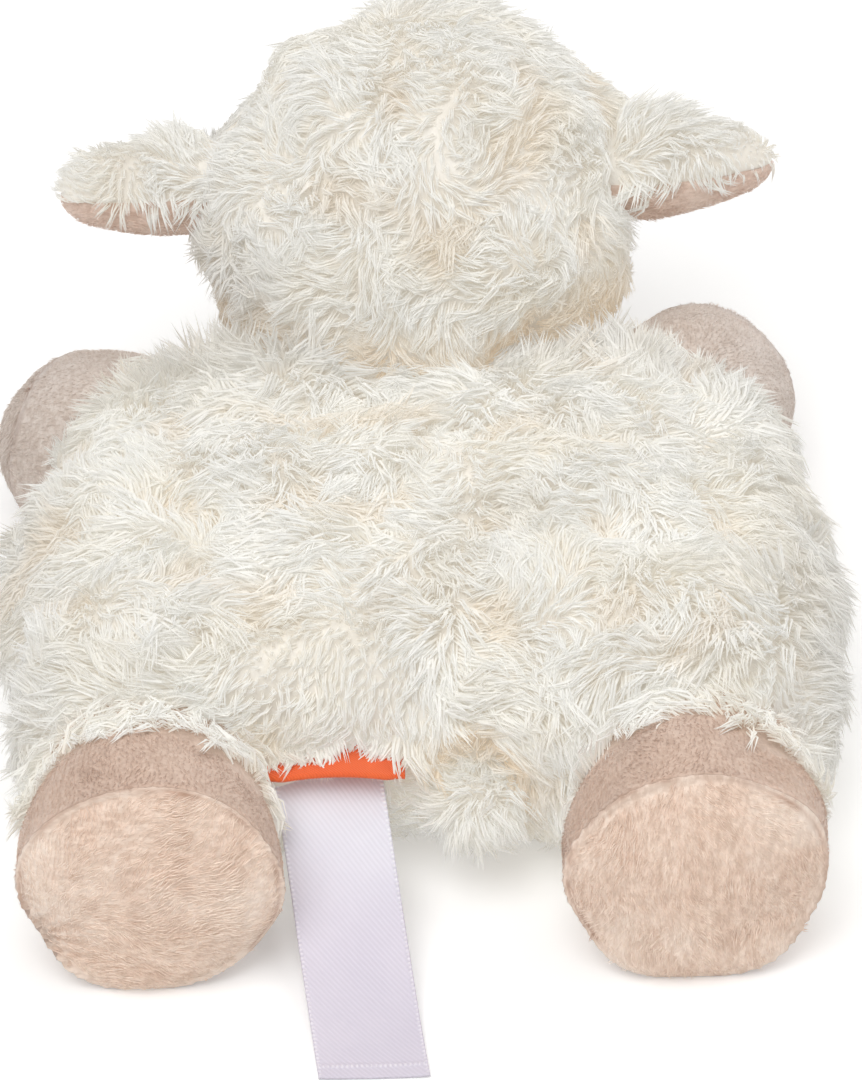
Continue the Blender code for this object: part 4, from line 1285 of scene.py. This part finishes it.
def buildTail():
    drop = math.radians(tailSizes["drop"])
    heading = (0, math.cos(drop), -math.sin(drop))
    matrix = facing(heading, tailSizes["place"], (0, 0, 1))
    mesh = lathe("tailCoat", wholeLimb(tailSizes), 40, matrix)
    coat = addPiece("tailCoat", mesh, backingMaterial)
    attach(coat, "tail")
    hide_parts("tail_skin", "tail_stuffing")
    points = readPoints(coat.data)
    storeNap(coat.data, (0.1, 0.4, -0.9), waves(points, 0.01, 41) * 0.9, 0.80, 1.2)
    share = 1.0 * (points[:, 1] > 0.068)
    values = {"Spacing": 0.0015, "Lift": 0.8, "Wave": 0.0025, "Wave size": 0.010}
    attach(growFur("tailFur", coat.data, furTree, share, values, 400, furMaterial), "tail")


buildTail()
print("tail", flush=True)


# Face: short pile, glossy eyes, an embroidered nose and mouth
eyeSizes = {"radius": 0.0055, "dome": 0.0038, "stem": 0.0014, "steps": 48}
noseSizes = {
    "stitches": 44, "thread": 0.00034, "height": 0.008, "halfWidth": 0.0108, "halfHeight": 0.0072,
}
mouthSizes = {
    "stitches": 9, "thread": 0.00055, "height": -0.006, "halfWidth": 0.012, "curve": 0.005,
}


# Height of the smile at a place across the muzzle.
def mouthHeight(across):
    return mouthSizes["curve"] * (across / mouthSizes["halfWidth"]) ** 2 + mouthSizes["height"]


# Points of the head that show at a place across and up the face.
def onHead(across, upward):
    sideways, above, ahead = faceAxes()
    near, far = np.zeros(len(across)), np.full(len(across), 0.09)
    for _ in range(30):
        middle = (near + far) / 2
        points = across[:, None] * sideways + upward[:, None] * above + middle[:, None] * ahead
        inside = np.linalg.norm(points, axis=1) < headRadius(unit(points))
        near, far = np.where(inside, middle, near), np.where(inside, far, middle)
    return points


def facePoint(sideways, rise):
    sideways, rise = math.radians(sideways), math.radians(rise)
    level = math.cos(rise)
    direction = np.array([math.sin(sideways) * level, -math.cos(sideways) * level, math.sin(rise)])
    return headCentre + direction * headRadius(direction[None])[0]


def faceFrame(sideways, rise):
    across = facePoint(sideways + 1, rise) - facePoint(sideways - 1, rise)
    upward = facePoint(sideways, rise + 1) - facePoint(sideways, rise - 1)
    return facing(np.cross(across, upward), facePoint(sideways, rise), (1, 0, 0))


def buildFace():
    rings, steps = 34, 96
    angles = np.arange(steps) / steps * math.tau
    shares = np.linspace(0, 1, rings + 1)[1:]
    share, angle = (grid.ravel() for grid in np.meshgrid(shares, angles, indexing="ij"))
    ring, turn = np.concatenate([[0.0], share]), np.concatenate([[0.0], angle])
    across = ring * np.cos(turn) * headSizes["faceHalfWidth"]
    upward = ring * np.sin(turn) * headSizes["faceHalfHeight"]
    middle = onHead(across, upward)
    out = unit(middle)
    pucker = np.sin(turn * 40 + 2 * np.sin(turn * 3)) * 0.0003 * np.exp(-(1 - ring) / 0.07)
    roll = 0.0008 * peak(ring, 1, 0.06)
    lumps = waves(middle, 0.02, 71) * 0.0004 * (1 - ring)
    outer = headCentre + middle + out * (pucker + roll + lumps)[:, None]
    inner = headCentre + middle - out * 0.0010
    count = len(outer)
    faces = []
    for step in range(steps):
        after = (step + 1) % steps
        faces.append([0, 1 + step, 1 + after])
        faces.append([count, count + 1 + after, count + 1 + step])
        for row in range(rings - 1):
            low, high = 1 + row * steps, 1 + (row + 1) * steps
            square = [low + step, high + step, high + after, low + after]
            faces += [square, [count + corner for corner in square[::-1]]]
        edge = 1 + (rings - 1) * steps
        faces.append([edge + step, count + edge + step, count + edge + after, edge + after])
    mesh = meshFrom("faceCloth", np.concatenate([outer, inner]), faces)
    face = addPiece("faceCloth", mesh, pawPile)
    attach(face, "head")
    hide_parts("face_panel")
    points, normals = readPoints(mesh), readPoints(mesh, "normal")
    away = unit(points - headCentre)
    share = (np.sum(away * normals, axis=1) > 0.3) * fall(facePlace(points), 0.93, 0.97)
    for sign in sides.values():
        eye = facePoint(sign * headSizes["eyeSide"], headSizes["eyeRise"])
        share *= ease(np.linalg.norm(points - eye, axis=1), 0.0062, 0.0074)
    x, y, _ = inFrame(points, faceFrame(0, headSizes["muzzleRise"])).T
    nose = np.hypot(x / 0.0125, (y - noseSizes["height"]) / 0.0095)
    mouth = np.abs(y - mouthHeight(x))
    share *= ease(nose, 0.95, 1.05) * np.maximum(ease(mouth, 0.0012, 0.0022), np.abs(x) > 0.0135)
    down = np.array([0.0, 0.0, -1.0])
    growPile("facePile", face, "head", down, share, pawPile, spacing=0.0011, length=0.55, seed=95)


buildFace()


def makeEyeMaterial():
    material, tree, surface = startMaterial("eyeBlack", 0.15, coat=0.35, coatRoughness=0.03)
    feed(tree, surface, {"Specular IOR Level": 0.25})
    place = objectPlace(tree)
    tone = noise(tree, place, 500, 2)
    colour = mixColour(tree, tone, (0.012, 0.009, 0.008), (0.022, 0.015, 0.012))
    paint(tree, surface, colour)
    addBump(tree, surface, [(noise(tree, place, 900, 2), 0.00005, 0.15)])
    return material


def makeThreadMaterial():
    material, tree, surface = startMaterial("darkThread", 0.5, sheen=0.3)
    place = objectPlace(tree)
    twist = noise(tree, objectPlace(tree, (1, 1, 4)), 700, 2)
    colour = mixColour(tree, twist, (0.10, 0.055, 0.04), (0.20, 0.12, 0.09))
    paint(tree, surface, colour)
    addBump(tree, surface, [(twist, 0.0002, 0.5), (noise(tree, place, 2500, 1), 0.0001, 0.4)])
    return material


# The moulded disc behind the cloth that holds an eye.
def makeWasherMaterial():
    material, tree, surface = startMaterial("washerMoulded", 0.45)
    place = objectPlace(tree)
    colour = mixColour(tree, noise(tree, place, 120, 3), (0.78, 0.77, 0.74), (0.86, 0.85, 0.82))
    paint(tree, surface, colour)
    addBump(tree, surface, [(noise(tree, place, 1800, 2), 0.00005, 0.3)])
    return material


eyeMaterial = makeEyeMaterial()
threadMaterial = makeThreadMaterial()
washerMaterial = makeWasherMaterial()


def buildEyes():
    radius, stem, rings = eyeSizes["radius"], eyeSizes["stem"], 14
    profile = [(0.0, -0.003), (stem, -0.003), (stem, 0.0001)]
    profile += [(radius - 0.0005, 0.0001), (radius - 0.0001, 0.0004)]
    for ring in range(rings + 1):
        turn = math.pi / 2 * (1 - ring / rings)
        profile.append((radius * math.sin(turn), 0.0007 + eyeSizes["dome"] * math.cos(turn)))
    profile[-1] = (0, profile[-1][1])
    for side, sign in sides.items():
        matrix = faceFrame(sign * headSizes["eyeSide"], headSizes["eyeRise"])
        mesh = lathe(f"eye{side.title()}Dome", profile, eyeSizes["steps"], matrix)
        bpy.data.objects[f"eye_{side}_washer"].material_slots[0].material = washerMaterial
        eye = addPiece(mesh.name, mesh, eyeMaterial)
        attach(eye, "head")
        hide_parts(f"eye_{side}")


buildEyes()


# One closed thread along a path of points.
def threadRun(bm, path, radius, steps=8):
    path = [Vector(point) for point in path]
    rings = []
    for number, point in enumerate(path):
        ahead = (path[min(number + 1, len(path) - 1)] - path[max(number - 1, 0)]).normalized()
        side = ahead.orthogonal().normalized()
        other = ahead.cross(side)
        thin = 0.45 if number in (0, len(path) - 1) else 1
        turns = [math.tau * step / steps for step in range(steps)]
        ring = [point + (side * math.cos(a) + other * math.sin(a)) * radius * thin for a in turns]
        rings.append([bm.verts.new(place) for place in ring])
    for first, second in zip(rings, rings[1:]):
        for step in range(steps):
            after = (step + 1) % steps
            bm.faces.new([first[step], first[after], second[after], second[step]])
    bm.faces.new(rings[0][::-1])
    bm.faces.new(rings[-1])


# A place on the head's surface near a frame on the face, lifted off it.
def onFace(muzzleFrame, x, y, lift):
    point = np.array(muzzleFrame @ Vector((x, y, 0))) - headCentre
    direction = unit(point)
    return headCentre + direction * (headRadius(direction[None])[0] + lift)


def finishStitches(name, bm, node):
    mesh = bpy.data.meshes.new(name)
    bm.to_mesh(mesh)
    bm.free()
    stitches = addPiece(name, mesh, threadMaterial)
    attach(stitches, "head")
    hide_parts(node)


def buildMuzzle():
    muzzle = faceFrame(0, headSizes["muzzleRise"])
    bm = bmesh.new()
    count, wide, middle = noseSizes["stitches"], noseSizes["halfWidth"], noseSizes["height"]
    for number in range(count):
        x = wide * (2 * (number + 0.5) / count - 1)
        half = noseSizes["halfHeight"] * math.sqrt(max(0, 1 - (x / 0.0112) ** 2))
        low, high = middle - half * 0.95, middle + half * (1 - 0.15 * abs(x) / wide)
        path = []
        for step in range(9):
            share = step / 8
            y = low + (high - low) * share
            lift = 0.0004 + 0.0009 * math.sin(math.pi * share) ** 0.6
            path.append(onFace(muzzle, x * (1 + (y - middle) * 30), y, lift))
        threadRun(bm, path, noseSizes["thread"])
    finishStitches("noseStitches", bm, "nose")
    bm = bmesh.new()
    count = mouthSizes["stitches"]
    for number in range(count):
        path = []
        for step in range(5):
            x = mouthSizes["halfWidth"] * (2 * (number + step / 4 * 1.25) / (count + 0.25) - 1)
            lift = 0.0004 + 0.0006 * math.sin(math.pi * step / 4)
            path.append(onFace(muzzle, x, mouthHeight(x), lift))
        threadRun(bm, path, mouthSizes["thread"])
    for drop in (0, 0.0035):
        path = [onFace(muzzle, 0, start - drop, 0.0008) for start in (0.0015, 0.0005, -0.0025)]
        threadRun(bm, path, mouthSizes["thread"])
    finishStitches("mouthStitches", bm, "mouth_stitches")


buildMuzzle()
print("face, eyes, nose and mouth", flush=True)


# Tab and label in the rear seam
labelSizes = {
    "width": 0.030,
    "length": 0.085,        # from the seam to its free end, as seen from above
    "run": 0.1027,          # along the cloth
    "cloth": 0.0004,
    "side": 0.0275,
    "drift": 0.0135,        # how far its free end lies to the right of its root
    "drop": 28,             # degrees that it slopes down at the seam
    "table": 0.00045,       # height of its middle where it lies on the table
    "loop": 0.0013,         # pitch of the loops along its edges
    "rows": 320, "columns": 90,
}
ribbonColours = {
    "tab": ((0.93, 0.155, 0.032), (0.86, 0.12, 0.026)),
    "label": ((0.86, 0.88, 0.95), (0.82, 0.84, 0.92)),
    # Painted shade toward the label's free end
    "toHem": (0.83, 0.757, 0.80),   # toward the label's free end
    "loops": (1.22, 1.24, 1.18),
}


# A closed strip whose middle is at place(across, along); extra is how much thicker it is there.
def strip(name, place, rows, columns, thickness, material, extra=lambda across, along: 0):
    shares = [2 * column / columns - 1 for column in range(columns + 1)]
    grid = [[Vector(place(across, along)) for across in shares] for along in rows]
    last, wide = len(rows) - 1, columns + 1
    tops, lows = [], []
    for row, along in enumerate(rows):
        for column, across in enumerate(shares):
            ahead = grid[min(row + 1, last)][column] - grid[max(row - 1, 0)][column]
            aside = grid[row][min(column + 1, columns)] - grid[row][max(column - 1, 0)]
            normal = aside.cross(ahead).normalized()
            more = extra(across, along)
            tops.append(grid[row][column] + normal * (thickness / 2 + more))
            lows.append(grid[row][column] - normal * (thickness / 2 + more * 0.3))
    count = len(tops)
    faces = []
    for row in range(last):
        for column in range(columns):
            start = row * wide + column
            square = [start, start + 1, start + wide + 1, start + wide]
            faces += [square, [count + corner for corner in square[::-1]]]
    border = list(range(wide)) + [row * wide + columns for row in range(1, last + 1)]
    border += [last * wide + column for column in range(columns - 1, -1, -1)]
    border += [row * wide for row in range(last - 1, 0, -1)]
    for first, second in zip(border, border[1:] + border[:1]):
        faces.append([second, first, count + first, count + second])
    return addPiece(name, meshFrom(name, tops + lows, faces), material)


# Radius of the tab's fold, and the straight run of each layer.
def tabRuns():
    half = (tabSizes["fold"] + tabSizes["cloth"]) / 2
    return half, tabSizes["seam"] + tabSizes["reach"] - half


# Out along the lower layer, round the fold and back along the upper one; along is 0 to 1.
def tabPlace(across, along):
    half, straight = tabRuns()
    curve = math.pi * half
    run = along * (2 * straight + curve)
    if run < straight:
        out, turn = run, 0
    elif run < straight + curve:
        turn = (run - straight) / half
        out = straight + half * math.sin(turn)
    else:
        out, turn = straight - (run - straight - curve), math.pi
    arch = tabSizes["arch"] * (1 - across**2)
    x = tabSizes["side"] + across * tabSizes["width"] / 2
    out *= 1 - tabSizes["taper"] * ease(abs(across), 0.70, 1.0)
    y = tabSizes["rear"] - tabSizes["seam"] + out
    return x, y, tabSizes["height"] + arch - half * math.cos(turn)


def labelPlace(across, along):
    slope, table = math.tan(math.radians(labelSizes["drop"])), labelSizes["table"]
    under = tabSizes["height"] - tabSizes["fold"] / 2 - tabSizes["cloth"] - 0.0003 - 0.0005
    third = labelSizes["length"] / 3
    reaches = (0, third, 2 * third, labelSizes["length"] + tabSizes["seam"])
    heights = (under + tabSizes["seam"] * slope, under - third * slope, table, table)
    rest = 1 - along
    weights = (rest**3, 3 * rest**2 * along, 3 * rest * along**2, along**3)
    y = sum(weight * reach for weight, reach in zip(weights, reaches))
    z = sum(weight * height for weight, height in zip(weights, heights))
    arch = tabSizes["arch"] * 0.5 * (1 - across**2) * rest**2
    curl = 0.0006 * ease(along, 0.1, 0.5) * abs(across) ** 3 * math.sin(along * 9 + across)
    x = labelSizes["side"] + across * labelSizes["width"] / 2 - labelSizes["drift"] * along
    return x, tabSizes["rear"] - tabSizes["seam"] + y, max(z + arch + abs(curl), table)


# Thicker selvedges with a row of loops, and a sewn hem at the free end.
def labelRelief(across, along):
    edge = 0.00010 * ease(abs(across), 0.945, 0.965)
    hem = 0.00022 * ease(along, 0.945, 0.950)
    return edge + loopRow(across, along) * 0.00030 + hem


# 1 on the small loops along both edges, and on the stitches of the hem.
def loopRow(across, along):
    pitch = math.sin(along * labelSizes["run"] / labelSizes["loop"] * math.tau)
    edge = ease(abs(across), 0.925, 0.945) * fall(abs(across), 0.975, 0.99)
    loops = ease(pitch, -0.2, 0.5) * edge
    pitch = math.sin(across * labelSizes["width"] / 2 / labelSizes["loop"] * math.tau)
    stitches = ease(pitch, -0.2, 0.5) * ease(along, 0.952, 0.956) * fall(along, 0.962, 0.966)
    return max(loops, stitches)


# A ribbon: fine crossed ribs, with a slow change of tone, painted shade in the grooves between the
# ribs and, on the label, painted shade toward its free end.
def makeWovenMaterial(name, colours, scale, rough, bump, coat=0.0):
    material, tree, surface = startMaterial(name, rough, sheen=0.2, coat=coat)
    place = objectPlace(tree)
    inputs = {"Vector": objectPlace(tree, (1, 1, 0.2)), "Scale": scale, "Distortion": 0.4}
    wave = addNode(tree, "ShaderNodeTexWave", inputs, wave_type="BANDS", bands_direction="DIAGONAL")
    ribs = wave.outputs["Fac"]
    tone = span(tree, noise(tree, place, 45, 3), 0.3, 0.7)
    colour = mixColour(tree, tone, *colours)
    # Painted shade in the grooves between the ribs
    ribGrooveShade = span(tree, ribs, 0, 1, 0.0, 0.12)
    colour = mixColour(tree, ribGrooveShade, colour, (0.5, 0.5, 0.5), "MULTIPLY")
    # Painted shade, growing toward the label's free end
    toHem = span(tree, readAttribute(tree, "toHem"), 0.0, 0.60)
    colour = mixColour(tree, toHem, colour, ribbonColours["toHem"], "MULTIPLY")
    loops = readAttribute(tree, "loops")
    colour = mixColour(tree, loops, colour, ribbonColours["loops"], "MULTIPLY")
    paint(tree, surface, colour)
    addBump(tree, surface, [(ribs, 0.0002, bump), (noise(tree, place, 700, 2), 0.0001, 0.3)])
    return material


tabMaterial = makeWovenMaterial("orangeWeave", ribbonColours["tab"], 700, 0.7, 0.6)
labelMaterial = makeWovenMaterial("whiteSatin", ribbonColours["label"], 420, 0.42, 0.3, 0.1)


def buildTabAndLabel():
    rows = [row / 60 for row in range(61)]
    tab = strip("wovenTab", tabPlace, rows, 76, tabSizes["cloth"], tabMaterial)
    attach(tab, "tab")
    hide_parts("seam_tab")
    count, columns = labelSizes["rows"], labelSizes["columns"]
    rows = [row / count for row in range(count + 1)]
    cloth = labelSizes["cloth"]
    label = strip("satinLabel", labelPlace, rows, columns, cloth, labelMaterial, labelRelief)
    shares = [2 * column / columns - 1 for column in range(columns + 1)]
    loops = [loopRow(across, along) for along in rows for across in shares]
    storeFloat(label.data, "loops", loops + loops)
    # How far along the label each point is, for the painted shade toward its free end
    toHem = [along for along in rows for _ in shares]
    storeFloat(label.data, "toHem", toHem + toHem)
    path = [Vector(labelPlace(0, along)) for along in rows]
    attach(label, "label")
    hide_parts("care_label")


buildTabAndLabel()


# Camera, light and floor
viewSizes = {
    "azimuth": 181.35,
    "elevation": 39.75,
    "roll": -2.18,
    "distance": 1.6,
    "target": (0, 0, 0.035),
    "aimUp": 0.0183,
    "aimRight": 0.0024,
    "lens": 233.4,
}
lamps = {"keyLamp": ((0.35, 0.75, 1.7), 1.4, 17), "fillLamp": ((-0.9, -0.3, 1.3), 1.2, 5)}
worldLight = 0.5


def addCamera():
    azimuth, elevation = math.radians(viewSizes["azimuth"]), math.radians(viewSizes["elevation"])
    roll = math.radians(viewSizes["roll"])
    level = math.cos(elevation)
    away = Vector((math.sin(azimuth) * level, -math.cos(azimuth) * level, math.sin(elevation)))
    right = Vector((math.cos(azimuth), math.sin(azimuth), 0))
    up = right.cross(-away)
    cosine, sine = math.cos(roll), math.sin(roll)
    right, up = right * cosine + up * sine, up * cosine - right * sine
    place = Vector(viewSizes["target"]) + away * viewSizes["distance"]
    aim = Vector(viewSizes["target"]) + up * viewSizes["aimUp"] + right * viewSizes["aimRight"]
    ahead = (aim - place).normalized()
    side = ahead.cross(up).normalized()
    above = side.cross(ahead)
    turn = Matrix((side, above, -ahead)).transposed()
    camera = bpy.data.objects.new("camera", bpy.data.cameras.new("camera"))
    bpy.context.scene.collection.objects.link(camera)
    camera.matrix_world = Matrix.Translation(place) @ turn.to_4x4()
    camera.data.sensor_fit = "HORIZONTAL"
    camera.data.sensor_width = 36
    camera.data.lens = viewSizes["lens"]
    camera.data.clip_start = 0.05
    bpy.context.scene.camera = camera


def addLamp(name, place, target, width, power):
    lamp = bpy.data.objects.new(name, bpy.data.lights.new(name, "AREA"))
    bpy.context.scene.collection.objects.link(lamp)
    lamp.data.shape = "DISK"
    lamp.data.size = width
    lamp.data.energy = power
    lamp.location = place
    lamp.rotation_euler = (Vector(target) - Vector(place)).to_track_quat("-Z", "Y").to_euler()


# 1 for rays that show the background itself: the camera's, glossy and transmitted ones.
def seenRays(tree):
    path = addNode(tree, "ShaderNodeLightPath")
    seen = path.outputs["Is Camera Ray"]
    for name in ("Is Glossy Ray", "Is Transmission Ray"):
        inputs = {0: seen, 1: path.outputs[name]}
        seen = addNode(tree, "ShaderNodeMath", inputs, operation="MAXIMUM").outputs[0]
    return seen


def addWorld(light):
    world = bpy.data.worlds.new("studio")
    world.use_nodes = True
    bpy.context.scene.world = world
    tree = world.node_tree
    tree.nodes.clear()
    seen = addNode(tree, "ShaderNodeBackground", {"Color": (1, 1, 1, 1), "Strength": 1})
    lit = addNode(tree, "ShaderNodeBackground", {"Color": (1, 0.99, 0.975, 1), "Strength": light})
    inputs = {0: seenRays(tree), 1: lit.outputs[0], 2: seen.outputs[0]}
    mix = addNode(tree, "ShaderNodeMixShader", inputs)
    addNode(tree, "ShaderNodeOutputWorld", {"Surface": mix.outputs[0]})


def addFloor():
    half = 3
    corners = [(-half, -half, 0), (half, -half, 0), (half, half, 0), (-half, half, 0)]
    material, tree, surface = startMaterial("whitePaper", 0.9)
    grain = noise(tree, objectPlace(tree), 8, 2)
    colour = mixColour(tree, grain, (0.93, 0.93, 0.93), (0.95, 0.95, 0.95))
    paint(tree, surface, colour)
    away = addNode(tree, "ShaderNodeVectorMath", {0: objectPlace(tree)}, operation="LENGTH")
    outer = span(tree, away.outputs["Value"], 0.3, 1.0, 0.22, 1.0)
    lift = addNode(tree, "ShaderNodeMath", {0: seenRays(tree), 1: outer}, operation="MULTIPLY")
    feed(tree, surface, {"Emission Color": (1, 1, 1, 1), "Emission Strength": lift.outputs[0]})
    floor = addPiece("floor", meshFrom("floor", corners, [[0, 1, 2, 3]]), material, False)


addCamera()
for name, (place, width, power) in lamps.items():
    addLamp(name, place, (0, 0, 0.03), width, power)
addWorld(worldLight)
addFloor()
bpy.context.scene.view_settings.view_transform = "Standard"
print("camera, lamps and floor", flush=True)
